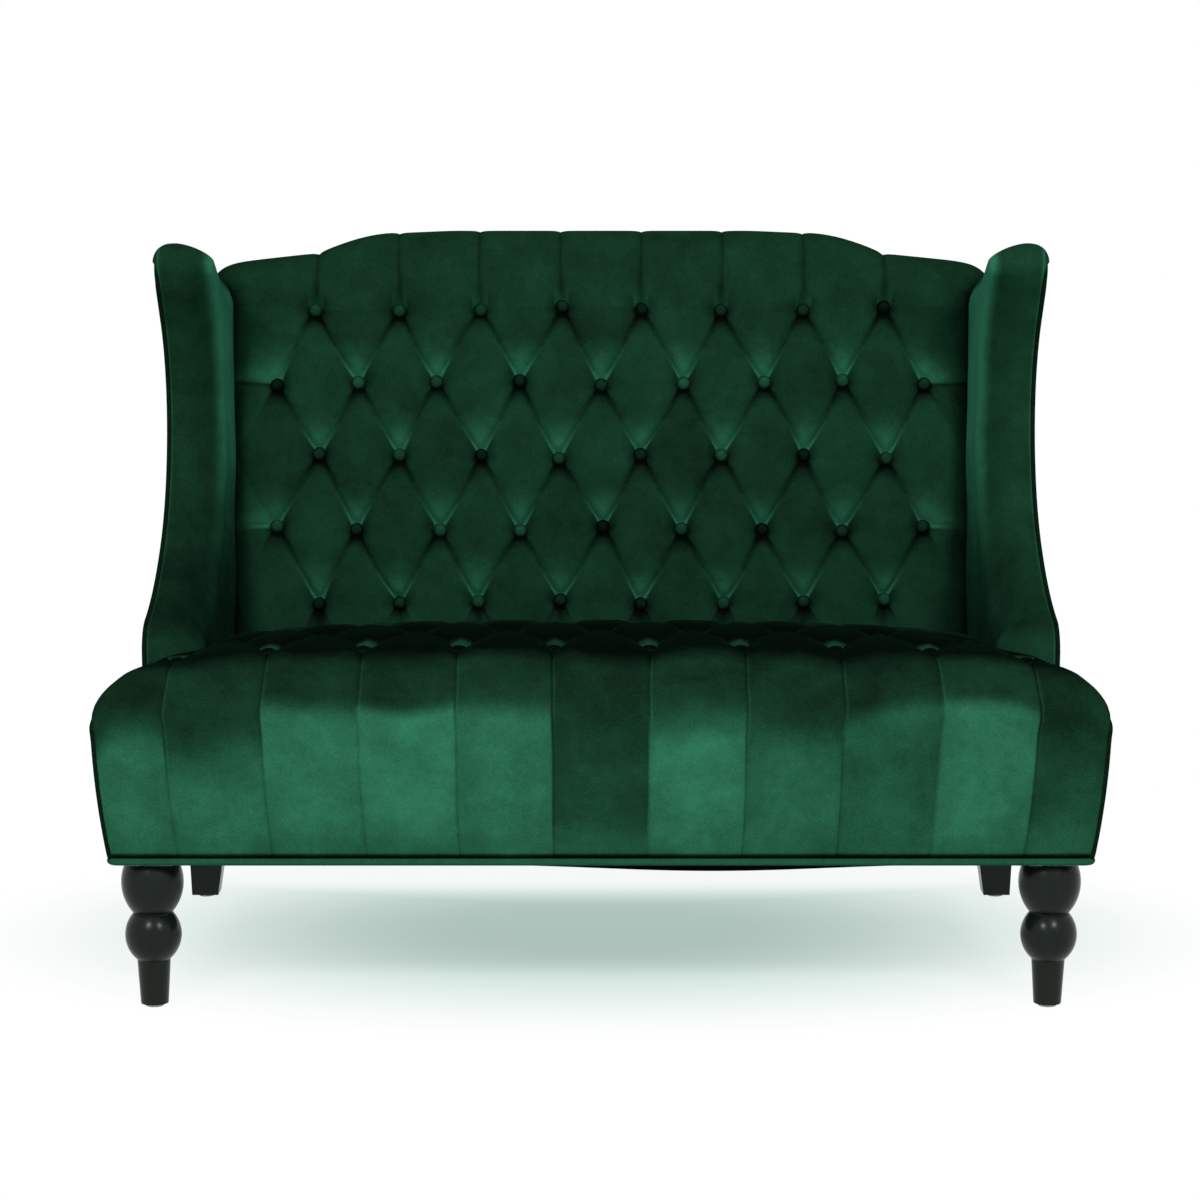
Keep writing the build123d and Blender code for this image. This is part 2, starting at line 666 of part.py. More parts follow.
def back_webbing():
    """Straps across the back frame and up it."""
    low = LOWER_RAIL_FROM
    high = BACK_TOP - TOP_COVER_T - CREST_DROP - WEB_WIDTH
    straps = []
    for step in range(5):
        z = low + WEB_WIDTH + step * (high - low - 2 * WEB_WIDTH) / 4
        straps.append(block(-FRAME_INNER, FRAME_INNER, -WEB_T, 0, z - WEB_WIDTH / 2, z + WEB_WIDTH / 2))
    for step in range(4):
        x = (step - 1.5) * SPRING_SPACING * 2
        straps.append(block(x - WEB_WIDTH / 2, x + WEB_WIDTH / 2, -2 * WEB_T, -WEB_T, low, high))
    return [BACK * strap for strap in straps]


def outside_back():
    """The board that closes the back."""
    outer = FRAME_HALF_WIDTH + WING_PANEL_T
    board = back_slab(outer, OUTSIDE_TOP, -TIMBER, TIMBER, TIMBER + OUTSIDE_T)
    return (BACK * board) & above(SEAT_COVER_BOTTOM)


# Frame pieces

def frame_screw_spots():
    """Height of the screws that hold a wing frame to its post."""
    return [0.35 * POST_TOP, 0.6 * POST_TOP, 0.85 * POST_TOP]


def frame_screws(grow):
    """Screws from each wing frame into its post."""
    screws = []
    for z in frame_screw_spots():
        shank_middle = FRAME_HALF_WIDTH - SCREW_LENGTH / 2
        head_middle = FRAME_HALF_WIDTH - SCREW_HEAD_H / 2
        shank = Pos(shank_middle, TIMBER / 2, z) * Rot(0, 90, 0) * Cylinder(SCREW_R + grow, SCREW_LENGTH)
        head = Pos(head_middle, TIMBER / 2, z) * Rot(0, 90, 0) * Cylinder(SCREW_HEAD_R + grow, SCREW_HEAD_H)
        screws.append(BACK * (shank + head))
    return screws


def back_post():
    """The post at one side of the back, down to the underside of the frame."""
    stick = BACK * block(FRAME_INNER - TIMBER, FRAME_INNER, 0, TIMBER, -TIMBER, POST_TOP)
    return (stick & above(FRAME_BOTTOM)) - rear_stud(STUD_R + HOLE_GAP) - frame_screws(HOLE_GAP)


def crest_rail():
    """The shaped rail at the top of the back."""
    half = FRAME_INNER - TIMBER
    return BACK * back_slab(half, BACK_TOP - TOP_COVER_T, CREST_RAIL_LOW, 0, TIMBER)


def stile(x):
    """An upright inside the back frame."""
    return BACK * block(x - TIMBER / 2, x + TIMBER / 2, 0, TIMBER, LOWER_RAIL_TO, CREST_RAIL_LOW)


def corner_block(x_sign, y_face, y_sign):
    """A triangular block in a corner of the seat frame."""
    inner = x_sign * FRAME_INNER
    corners = [
        (inner, y_face, FRAME_BOTTOM),
        (inner - x_sign * CORNER_LEG, y_face, FRAME_BOTTOM),
        (inner, y_face + y_sign * CORNER_LEG, FRAME_BOTTOM),
    ]
    return extrude(make_face(Polyline(corners, close=True)), amount=CORNER_HEIGHT, dir=(0, 0, 1))


FRONT_RAIL_REAR = FRONT_RAIL_FACE + TIMBER
REAR_RAIL_FRONT = REAR_RAIL_FACE - TIMBER
SIDE_RAIL_END = back_yz(0, 0)[0]


def side_rail():
    """A rail from the front rail to the back post."""
    rail = block(FRAME_INNER, FRAME_HALF_WIDTH, FRONT_RAIL_REAR, SIDE_RAIL_END, FRAME_BOTTOM, RAIL_TOP)
    return rail - front_stud_bore()


def front_rail():
    """The front rail of the seat frame."""
    half = FRAME_HALF_WIDTH
    rail = block(-half, half, FRONT_RAIL_FACE, FRONT_RAIL_REAR, FRAME_BOTTOM, RAIL_TOP)
    return rail - list(pair(front_stud_bore()))


def corner_blocks():
    """The blocks in the four corners of the seat frame."""
    blocks = []
    for x_sign in (-1, 1):
        blocks.append(corner_block(x_sign, FRONT_RAIL_REAR, 1) - list(pair(front_stud_bore())))
        blocks.append(corner_block(x_sign, REAR_RAIL_FRONT, -1))
    return blocks


# Springs

SPRING_FRONT = (FRONT_RAIL_FACE + FRONT_RAIL_REAR) / 2
SPRING_REAR = (REAR_RAIL_FRONT + REAR_RAIL_FACE) / 2
SPRING_Z = RAIL_TOP + CLIP_H / 2


def spring():
    """One sinuous spring from the front rail to the rear rail."""
    step = (SPRING_REAR - SPRING_FRONT) / SPRING_TURNS
    edges = []
    side = 1
    for turn in range(SPRING_TURNS + 1):
        y = SPRING_FRONT + turn * step
        reach = side * SPRING_HALF_RUN
        edges.append(Line((-reach, y, SPRING_Z), (reach, y, SPRING_Z)))
        if turn < SPRING_TURNS:
            bulge = (reach + side * step / 2, y + step / 2, SPRING_Z)
            edges.append(ThreePointArc((reach, y, SPRING_Z), bulge, (reach, y + step, SPRING_Z)))
        side = -side
    path = Wire(edges)
    section = Plane(origin=path @ 0, z_dir=path % 0) * Circle(SPRING_WIRE_R)
    return sweep(section, path=path)


def spring_clip(y):
    """A clip that holds the end of a spring on a rail."""
    body = Pos(0, y, SPRING_Z) * Box(CLIP_WIDTH, CLIP_DEPTH, CLIP_H)
    eye = Pos(0, y, SPRING_Z) * Rot(0, 90, 0) * Cylinder(SPRING_WIRE_R + CURVE_GAP / 2, CLIP_WIDTH)
    return body - eye


SPRING_PLACES = [(i - (SPRING_COUNT - 1) / 2) * SPRING_SPACING for i in range(SPRING_COUNT)]


def seat_deck():
    """The cloth on the springs."""
    half = FRAME_INNER - 2
    return block(-half, half, FRONT_RAIL_FACE + 2, REAR_RAIL_FACE, DECK_TOP - DECK_T, DECK_TOP)


def seat_buttons():
    """The covered buttons of the seat."""
    one = button_solid()
    return [on_seat(x, y, -BUTTON_SEAT) * one for places in seat_places() for x, y in places]


def back_buttons():
    """The covered buttons of the back."""
    one = button_solid()
    return [BACK * spot * one for spot in back_button_spots(-BUTTON_SEAT)]


# Welts of the base

def tube(path, radius):
    """A round cord along a path."""
    section = Plane(origin=path @ 0, z_dir=path % 0) * Circle(radius)
    return sweep(section, path=path)


def front_edge_welt():
    """The welt on one side edge of the seat front."""
    slant = (EAR_WIDE - EAR_LOW) / (EAR_HIGH - SEAT_COVER_BOTTOM)
    high = EAR_HIGH - EAR_ROLL
    y = SEAT_FRONT_LOW + 4 * WELT_R
    low_x = EAR_LOW + WELT_R
    high_x = low_x + slant * (high - SEAT_COVER_BOTTOM)
    path = Line((low_x, y, SEAT_COVER_BOTTOM), (high_x, y, high))
    return tube(path, WELT_R - CURVE_GAP)


BASE_WELT_Z = SEAT_COVER_BOTTOM - BASE_WELT_R
FRONT_WELT_Y = SEAT_FRONT_LOW + BASE_WELT_R
SIDE_WELT_X = FRAME_HALF_WIDTH + BASE_WELT_R
EAR_WELT_X = EAR_LOW - BASE_WELT_R
REAR_WELT_DEPTH = TIMBER + BASE_WELT_R
REAR_WELT_Y = BACK_PIVOT_Y + (REAR_WELT_DEPTH + (BASE_WELT_Z - FRAME_BOTTOM) * LEAN_SIN) / LEAN_COS


def base_welt_side():
    """The welt under one side, from the seat front to the back."""
    start = (EAR_WELT_X, FRONT_WELT_Y + 3 * BASE_WELT_R, BASE_WELT_Z)
    bend = (EAR_WELT_X, EAR_BACK - 2 * ARM_ROLL, BASE_WELT_Z)
    join = (SIDE_WELT_X, EAR_BACK + ARM_ROLL, BASE_WELT_Z)
    end = (SIDE_WELT_X, REAR_WELT_Y - 3 * BASE_WELT_R, BASE_WELT_Z)
    path = FilletPolyline(start, bend, join, end, radius=ARM_ROLL)
    return tube(path, BASE_WELT_R - CURVE_GAP)


def base_welt_across(y, half):
    """A straight welt under the front or the back."""
    return tube(Line((-half, y, BASE_WELT_Z), (half, y, BASE_WELT_Z)), BASE_WELT_R - CURVE_GAP)


def dust_cover():
    """The cloth under the frame, cut away round the legs."""
    half = FRAME_HALF_WIDTH
    rear = back_yz(TIMBER, 0)[0]
    cloth = block(-half, half, FRONT_RAIL_FACE, rear, FRAME_BOTTOM - DUST_T, FRAME_BOTTOM)
    notches = []
    for x_sign in (-1, 1):
        notches.append(Pos(x_sign * LEG_X, LEG_Y, FRAME_BOTTOM) * Box(DUST_NOTCH, DUST_NOTCH, TIMBER))
        notches.append(Pos(x_sign * LEG_X, rear, FRAME_BOTTOM) * Box(DUST_NOTCH, 2 * DUST_REAR_NOTCH, TIMBER))
    return cloth - notches


# Build every node

pieces = {}


def both_sides(name, part):
    """Store a right-hand piece and its mirror image."""
    right, left = pair(part)
    pieces[name + "_right"] = right
    pieces[name + "_left"] = left


both_sides("front_leg", front_leg())
both_sides("rear_leg", rear_leg())
glides = [glide(LEG_X, LEG_Y), glide(REAR_FOOT_X, REAR_FOOT_Y)]
pieces["foot_glides"] = group(glides + [mirror(one, about=Plane.YZ) for one in glides])
pieces["leg_plates"] = group(pair(leg_plate()))
pieces["front_leg_studs"] = group(pair(front_stud()))
pieces["rear_leg_studs"] = group(pair(rear_stud(STUD_R)))

pieces["front_seat_rail"] = front_rail()
pieces["rear_seat_rail"] = block(
    -FRAME_INNER, FRAME_INNER, REAR_RAIL_FRONT, REAR_RAIL_FACE, FRAME_BOTTOM, RAIL_TOP
)
both_sides("side_rail", side_rail())
pieces["seat_stretcher"] = block(
    -TIMBER / 2, TIMBER / 2, FRONT_RAIL_REAR, REAR_RAIL_FRONT, FRAME_BOTTOM, FRAME_BOTTOM + STRETCHER_HEIGHT
)
pieces["corner_blocks"] = group(corner_blocks())
both_sides("back_post", back_post())
pieces["crest_rail"] = crest_rail()
pieces["lower_back_rail"] = BACK * block(
    TIMBER - FRAME_INNER, FRAME_INNER - TIMBER, 0, TIMBER, LOWER_RAIL_FROM, LOWER_RAIL_TO
)
pieces["back_stiles"] = group([stile(-STILE_X), stile(STILE_X)])
screw_holes = frame_screws(HOLE_GAP)
both_sides("wing_frame", wing_frame() - screw_holes)
screws = frame_screws(0)
pieces["frame_screws"] = group(screws + [mirror(one, about=Plane.YZ) for one in screws])

one_spring = spring()
pieces["seat_springs"] = group([Pos(x, 0, 0) * one_spring for x in SPRING_PLACES])
clips = [spring_clip(SPRING_FRONT), spring_clip(SPRING_REAR)]
pieces["spring_clips"] = group([Pos(x, 0, 0) * one for x in SPRING_PLACES for one in clips])
pieces["seat_deck"] = seat_deck()
pieces["seat_foam"] = seat_core(CURVE_GAP)
pieces["seat_cover"] = seat_cover()
pieces["seat_buttons"] = group(seat_buttons())

pieces["back_webbing"] = group(back_webbing())
pieces["back_hessian"] = back_hessian()
pieces["back_foam"] = back_foam()
pieces["back_cover"] = back_cover()
pieces["back_buttons"] = group(back_buttons())
pieces["outside_back"] = outside_back()

both_sides("wing_pad", wing_pad())
both_sides("side_panel", side_panel())
both_sides("wing_welt", wing_welt())
both_sides("front_edge_welt", front_edge_welt())
both_sides("base_welt", base_welt_side())
pieces["base_welt_front"] = base_welt_across(FRONT_WELT_Y, EAR_LOW - BASE_WELT_R)
pieces["base_welt_rear"] = base_welt_across(REAR_WELT_Y, FRAME_HALF_WIDTH)
pieces["dust_cover"] = dust_cover()

for name, part in pieces.items():
    export_step(part, "parts/" + name + ".step")
    size = part.bounding_box()
    print(name, len(part.solids()), "solids", size.min, size.max)
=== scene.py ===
# %% [markdown]
# # A tufted velvet loveseat
# The loveseat is a timber frame under velvet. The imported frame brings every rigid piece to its
# place, and this file dresses it: a tufted back, a tufted seat with pleats over its front,
# padded wings, covered buttons, welts and a sagging dust cover. Everything is in metres. X runs
# to the right as seen from the front, the front faces -Y, and Z is up from the floor.

# %% Load the frame
import json
import math

import bpy
import numpy as np
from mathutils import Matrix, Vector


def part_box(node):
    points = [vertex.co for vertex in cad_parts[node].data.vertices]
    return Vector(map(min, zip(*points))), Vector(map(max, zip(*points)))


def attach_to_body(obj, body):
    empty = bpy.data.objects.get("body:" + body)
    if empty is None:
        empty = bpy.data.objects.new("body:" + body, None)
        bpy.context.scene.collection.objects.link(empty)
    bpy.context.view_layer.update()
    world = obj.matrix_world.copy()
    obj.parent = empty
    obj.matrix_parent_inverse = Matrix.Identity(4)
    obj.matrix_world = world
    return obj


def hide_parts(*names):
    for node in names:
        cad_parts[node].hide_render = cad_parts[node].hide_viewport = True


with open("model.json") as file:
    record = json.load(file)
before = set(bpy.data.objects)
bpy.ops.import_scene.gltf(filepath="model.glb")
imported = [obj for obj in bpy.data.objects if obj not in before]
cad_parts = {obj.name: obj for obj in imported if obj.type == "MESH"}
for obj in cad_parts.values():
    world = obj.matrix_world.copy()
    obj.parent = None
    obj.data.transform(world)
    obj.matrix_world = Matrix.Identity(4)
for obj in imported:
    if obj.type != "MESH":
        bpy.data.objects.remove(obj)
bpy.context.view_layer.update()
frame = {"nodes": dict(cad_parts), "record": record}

# %% [markdown]
# ## Colours and nodes
# Colours are written as the sRGB hex values that a picture shows. Shaders work in linear light,
# so one function turns the one into the other. A second small function adds a shader or geometry
# node, sets it up and links it, which keeps every material readable.


# %% Colour and node helpers
def linear(hex_colour):
    """Linear RGBA from an sRGB hex value."""
    parts = [int(hex_colour[i:i + 2], 16) / 255 for i in (1, 3, 5)]
    curve = [p / 12.92 if p <= 0.04045 else ((p + 0.055) / 1.055) ** 2.4 for p in parts]
    return (*curve, 1.0)


def add_node(tree, kind, settings=None, values=None, links=None):
    """Add a node, set its properties and input values, and link its inputs."""
    made = tree.nodes.new(kind)
    for name, value in (settings or {}).items():
        setattr(made, name, value)
    for name, value in (values or {}).items():
        made.inputs[name].default_value = value
    for name, source in (links or {}).items():
        tree.links.new(source, made.inputs[name])
    return made


def new_material(name):
    """An empty node material."""
    material = bpy.data.materials.new(name)
    material.use_nodes = True
    material.node_tree.nodes.clear()
    return material, material.node_tree


print("sample: emerald in linear light", [round(v, 3) for v in linear("#2c6b50")])

# %% [markdown]
# ## Velvet
# Velvet is a woven ground with a short cut pile. The pile lies one way, so the same dye looks
# pale where the tips face you and nearly black where you look into the pile. A hand leaves
# blotches a few centimetres wide in it. Each velvet piece carries a point attribute of tone, from
# 0 (dark) to 1 (light). It holds some of the lay of the pile, but mostly painted light and
# painted shade: lit fronts, shaded tops and corners, and highlights and shadows at the buttons and
# pleats. The material turns it into a tone, adds the blotches and a fine grain, and a little of the
# shader's sheen lights the edges. Real pile is about 0.2 mm wide, too fine to show, so the grain is
# drawn about 1.5 mm wide.

# %% Velvet material
# Tones from dark to light: the dark end shows painted shade, the light end painted light.
LIGHT_AND_NAP_TONES = [(0.0, "#060e09"), (0.25, "#11281b"), (0.5, "#1a412d"), (0.75, "#275e45"), (1.0, "#357d5f")]
BLOTCH_WIDTH = 0.060
BRUSH_WIDTH = 0.014
BRUSH_STRENGTH = 0.14
PILE_WIDTH = 0.0015
PILE_STRENGTH = 0.34


def velvet(name, plain_light_and_nap=None, blotch=0.36):
    """Emerald velvet whose tone follows the point attribute of painted light and pile, or one plain tone:
    mid for CAD boards, painted light and painted shade for the welts.
    """
    material, tree = new_material(name)
    place = add_node(tree, "ShaderNodeTexCoord").outputs["Object"]
    marks = []
    for width, detail, roughness, strength in (
            (BLOTCH_WIDTH, 3.0, 0.55, blotch),
            (BRUSH_WIDTH, 2.0, 0.6, BRUSH_STRENGTH),
            (PILE_WIDTH, 1.0, 0.5, PILE_STRENGTH)):
        noise = add_node(tree, "ShaderNodeTexNoise", None,
                         {"Scale": 1 / width, "Detail": detail, "Roughness": roughness}, {"Vector": place})
        marks.append(add_node(tree, "ShaderNodeMath", {"operation": "MULTIPLY_ADD"},
                              {1: strength, 2: -0.5 * strength}, {0: noise.outputs["Fac"]}))
    # The last of the three noises, the pile, also gives the relief.
    pile = noise.outputs["Fac"]
    both = add_node(tree, "ShaderNodeMath", {"operation": "ADD"}, None,
                    {0: marks[0].outputs[0], 1: marks[1].outputs[0]})
    all_three = add_node(tree, "ShaderNodeMath", {"operation": "ADD"}, None,
                         {0: both.outputs[0], 1: marks[2].outputs[0]})
    tone = add_node(tree, "ShaderNodeMath", {"operation": "ADD", "use_clamp": True},
                    {1: plain_light_and_nap or 0.0}, {0: all_three.outputs[0]})
    if plain_light_and_nap is None:
        light_and_lay = add_node(tree, "ShaderNodeAttribute", {"attribute_name": "nap"})
        tree.links.new(light_and_lay.outputs["Fac"], tone.inputs[1])
    ramp = add_node(tree, "ShaderNodeValToRGB", None, None, {"Fac": tone.outputs[0]})
    stops = ramp.color_ramp.elements
    while len(stops) < len(LIGHT_AND_NAP_TONES):
        stops.new(0.5)
    for stop, (position, colour) in zip(stops, LIGHT_AND_NAP_TONES):
        stop.position = position
        stop.color = linear(colour)
    relief = add_node(tree, "ShaderNodeBump", None, {"Strength": 0.35, "Distance": 0.0006},
                      {"Height": pile})
    surface = add_node(tree, "ShaderNodeBsdfPrincipled", None,
                       {"Roughness": 0.88, "Specular IOR Level": 0.0, "Sheen Weight": 0.04,
                        "Sheen Roughness": 0.30, "Sheen Tint": linear("#58b48a")},
                       {"Base Color": ramp.outputs["Color"], "Normal": relief.outputs["Normal"]})
    add_node(tree, "ShaderNodeOutputMaterial", None, None, {"Surface": surface.outputs["BSDF"]})
    return material


# The tufted velvet takes its tone from the point attribute of painted light and pile. The flat one has one
# plain mid tone for the boards. The two welt velvets are a lit and a shaded copy of one velvet: painted
# light and painted shade.
tufted_velvet = velvet("emerald_velvet_brushed")
board_velvet = velvet("emerald_velvet_flat", 0.42)
lit_welt_velvet = velvet("emerald_velvet_welt", 0.66, 0.12)
shade_velvet = velvet("emerald_velvet_welt_side", 0.14, 0.10)
print("velvets made:", tufted_velvet.name, board_velvet.name, lit_welt_velvet.name, shade_velvet.name)

# %% [markdown]
# ## The other finishes
# The legs are turned and sawn wood under a black satin lacquer: a dark base, a soft gloss and
# the faint unevenness of brushed lacquer over grain. The frame inside is plain beech, the
# fasteners and springs are zinc-plated steel, the glides are moulded nylon, the padding is cut
# foam, the straps and deck are jute, and the dust cover is black non-woven cambric. All of them
# are one recipe with other values: two tones, marks of a real size, a roughness and a relief.


# %% Two-tone finish
DARK_UP_TO = 0.30
LIGHT_FROM = 0.70
GLOSS_CHANGE = 0.12


def finished(name, dark, light, mark_width, stretch, roughness, relief_height, extra=None):
    """A two-tone procedural finish: noise of one real size, stretched along one axis."""
    material, tree = new_material(name)
    place = add_node(tree, "ShaderNodeTexCoord").outputs["Object"]
    turned = add_node(tree, "ShaderNodeMapping", None, {"Scale": stretch}, {"Vector": place})
    noise = add_node(tree, "ShaderNodeTexNoise", None,
                     {"Scale": 1 / mark_width, "Detail": 4.0, "Roughness": 0.55},
                     {"Vector": turned.outputs[0]})
    ramp = add_node(tree, "ShaderNodeValToRGB", None, None, {"Fac": noise.outputs["Fac"]})
    ramp.color_ramp.elements[0].position = DARK_UP_TO
    ramp.color_ramp.elements[0].color = linear(dark)
    ramp.color_ramp.elements[1].position = LIGHT_FROM
    ramp.color_ramp.elements[1].color = linear(light)
    uneven = add_node(tree, "ShaderNodeMath", {"operation": "MULTIPLY_ADD"},
                      {1: GLOSS_CHANGE, 2: roughness - GLOSS_CHANGE / 2}, {0: noise.outputs["Fac"]})
    relief = add_node(tree, "ShaderNodeBump", None, {"Strength": 0.3, "Distance": relief_height},
                      {"Height": noise.outputs["Fac"]})
    surface = add_node(tree, "ShaderNodeBsdfPrincipled", None, extra or {},
                       {"Base Color": ramp.outputs["Color"], "Roughness": uneven.outputs[0],
                        "Normal": relief.outputs["Normal"]})
    add_node(tree, "ShaderNodeOutputMaterial", None, None, {"Surface": surface.outputs["BSDF"]})
    return material


print("recipe ready: tones at", DARK_UP_TO, "and", LIGHT_FROM)

# %% Lacquer, beech, steel, nylon, foam and cloth
GRAIN_UP = (1.0, 1.0, 0.12)
GRAIN_ACROSS = (0.08, 1.0, 1.0)
NO_GRAIN = (1.0, 1.0, 1.0)
finishes = {
    # Satin lacquer brushed on wood: near black, with soft highlights and marks 12 mm apart.
    "black_lacquered_wood": finished("black_satin_lacquer", "#0c1510", "#131c17", 0.012, GRAIN_UP, 0.26,
                                     0.0001, {"Specular IOR Level": 0.17}),
    # Sawn beech: pale brown and dull, with streaks 6 mm wide along the rails.
    "frame_beech": finished("sawn_beech", "#a9835a", "#c9a377", 0.006, GRAIN_ACROSS, 0.65, 0.0003),
    # Zinc plate on steel: a grey metal with a faint mottle of 4 mm.
    "zinc_steel": finished("zinc_plated_steel", "#8d9092", "#a6a9ab", 0.004, NO_GRAIN, 0.38, 0.00005,
                           {"Metallic": 1.0}),
    # Moulded nylon: off-white with a low gloss and a texture of 2 mm.
    "nylon_glide": finished("moulded_nylon", "#d3d1c9", "#e0ded8", 0.002, NO_GRAIN, 0.45, 0.00005),
    # Cut foam: pale yellow and dull. Its pores are drawn 3 mm wide, coarser than they are.
    "polyurethane_foam": finished("cut_foam", "#d8cba3", "#e6dbb8", 0.003, NO_GRAIN, 0.9, 0.0006),
    # Woven jute: brown, dull and uneven, with marks as wide as its threads, about 2 mm.
    "jute_cloth": finished("woven_jute", "#7d6543", "#a98f68", 0.002, NO_GRAIN, 0.9, 0.0005),
    # Non-woven cambric: black and dull, with a crimp of 2.5 mm.
    "black_cambric": finished("black_cambric", "#0b0c0b", "#171917", 0.0025, NO_GRAIN, 0.9, 0.0003),
    "green_velvet": board_velvet,
    # The frame's welts take the shaded copy of the welt velvet, painted shade.
    "green_velvet_welt": shade_velvet,
    "green_velvet_button": tufted_velvet,
}
slot_of = {part["node"]: part["material_slot"] for part in frame["record"]["subparts"]}
for node_name, piece in frame["nodes"].items():
    piece.data.materials.clear()
    piece.data.materials.append(finishes[slot_of[node_name]])
print("finishes on", len(slot_of), "frame nodes")

# %% [markdown]
# ## Making meshes from rules
# Tufting follows a rule. Buttons sit on a lattice, pleats run between them, and the padding
# between pleats swells. A surface like that is a grid whose height depends on two distances: to
# the nearest pleat and to the nearest button. The grid lines are spaced so that the slanting
# pleats pass exactly through grid corners, and every cell is split along its pleat, so a pleat
# is a crisp fold and not a staircase.


# %% Mesh helpers
def place_mesh(name, points, edges, faces):
    """A new object with a plain mesh, standing at the origin."""
    mesh = bpy.data.meshes.new(name)
    mesh.from_pydata(np.asarray(points).tolist(), edges, np.asarray(faces).tolist())
    piece = bpy.data.objects.new(name, mesh)
    bpy.context.scene.collection.objects.link(piece)
    return piece


def make_piece(name, points, faces, nap, material):
    """A smooth mesh object with a point attribute of painted light and pile."""
    piece = place_mesh(name, points, [], faces)
    mesh = piece.data
    mesh.polygons.foreach_set("use_smooth", [True] * len(mesh.polygons))
    layer = mesh.attributes.new("nap", "FLOAT", "POINT")
    layer.data.foreach_set("value", np.asarray(nap, dtype=float).ravel())
    mesh.materials.append(material)
    mesh.update()
    return piece


def dress(piece, slot, *nodes):
    """Ride on the frame and hide what the piece stands for. The slot argument is not used."""
    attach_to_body(piece, "root")
    if nodes:
        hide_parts(*nodes)


def all_cells(rows, columns):
    """A mark for every cell of a grid."""
    return np.ones((rows - 1, columns - 1), bool)


def grid_faces(rows, columns, rising, keep):
    """Two triangles a cell, split along the rising or the falling diagonal."""
    index = np.arange(rows * columns).reshape(rows, columns)
    a, b, c, d = index[:-1, :-1], index[:-1, 1:], index[1:, 1:], index[1:, :-1]
    pick = rising[..., None]
    first = np.where(pick, np.stack([a, b, c], -1), np.stack([a, b, d], -1))
    second = np.where(pick, np.stack([a, c, d], -1), np.stack([b, c, d], -1))
    return np.concatenate([first[keep], second[keep]])


CELLS = 24
print("each half tuft is", CELLS, "cells wide")

# %% Tuft helpers
FAR_OFF = 9.0
PLEAT_LIP = 0.002
SIDE_PLEAT_X = 0.6
BUTTON_FLAT = 0.007
DIMPLE_REACH = 0.024
PUCKER_REACH = 0.017


def lattice_rows(counts, pitch, start, step):
    """Button places row by row, each row centred, from the number of buttons in each."""
    rows = []
    for row, count in enumerate(counts):
        rows.append([((i - (count - 1) / 2) * pitch, start + row * step) for i in range(count)])
    return rows


def tuft_pleats(rows, pitch, first_run, last_run, side_rows):
    """Pleats between neighbouring buttons, on from the end rows, and out to the sides."""
    pleats = []
    for near, far in zip(rows, rows[1:]):
        for x, along in near:
            for x2, along2 in far:
                if abs(abs(x - x2) - pitch / 2) < 0.001:
                    pleats.append((x, along, x2, along2))
    for end_row, reach in ((rows[0], first_run), (rows[-1], last_run)):
        for x, along in end_row:
            pleats.append((x, along, x, along + reach))
    for row in side_rows:
        for x, along in (rows[row][0], rows[row][-1]):
            pleats.append((x, along, math.copysign(SIDE_PLEAT_X, x), along))
    return pleats


def cell_diagonals(across, along, pitch, rise):
    """For each cell, whether its pleat rises, and its middle across in half pitches."""
    u = across / (pitch / 2)
    v = along / rise
    mid_u = (u[:-1, :-1] + u[1:, 1:]) / 2
    mid_v = (v[:-1, :-1] + v[1:, 1:]) / 2
    rising = np.abs((mid_u - mid_v) % 2 - 1) < np.abs((mid_u + mid_v) % 2 - 1)
    return rising, mid_u


def pleat_distance(across, up, pleats):
    """Distance to the nearest pleat in the flat panel, and from -1 below that pleat to 1 above."""
    best = np.full(across.shape, FAR_OFF)
    above = np.zeros(across.shape)
    for x0, y0, x1, y1 in pleats:
        dx, dy = x1 - x0, y1 - y0
        t = np.clip(((across - x0) * dx + (up - y0) * dy) / (dx * dx + dy * dy), 0, 1)
        far = np.hypot(across - x0 - t * dx, up - y0 - t * dy)
        near = far < best
        best = np.where(near, far, best)
        over_it = ((up - y0) * dx - (across - x0) * dy) * np.sign(dx) / math.hypot(dx, dy)
        above = np.where(near, np.tanh(over_it / PLEAT_LIP), above)
    return best, above


def button_offsets(across, up, places):
    """Offset across and up from the nearest button, and how far that is."""
    best = np.full(across.shape, FAR_OFF)
    side = np.zeros(across.shape)
    rise = np.zeros(across.shape)
    for x, y in places:
        dx, dy = across - x, up - y
        far = np.hypot(dx, dy)
        near = far < best
        best = np.where(near, far, best)
        side = np.where(near, dx, side)
        rise = np.where(near, dy, rise)
    return side, rise, best


def swell(to_pleat, to_button, height, fold, ridge):
    """Height of the padding: nothing at a button, a ridge along a pleat, full in between."""
    dimple = 1 - np.exp(-(np.maximum(to_button - BUTTON_FLAT, 0) / DIMPLE_REACH) ** 1.15)
    crease = (1 - np.exp(-to_pleat / fold)) * (1 - np.exp(-(to_button / PUCKER_REACH) ** 2))
    low = ridge * dimple
    return height * (low + (1 - low) * crease)


def smooth_step(low, high, value):
    """A soft step from 0 to 1."""
    t = np.clip((value - low) / (high - low), 0, 1)
    return t * t * (3 - 2 * t)


print("tuft rules ready: a dimple reaches", DIMPLE_REACH, "m past its button")

# %% [markdown]
# ## The back
# The back leans by six degrees, so it is worked out upright and then turned about the foot of its
# posts. Rows of eight and nine buttons alternate. From the top row, straight pleats run up and
# over the crest, which is higher in the middle. From the end buttons of the rows of nine, a short
# pleat runs out to the wing. A hand-made cover is never quite regular, so one slow wave shifts
# the cloth and its buttons by a few millimetres.

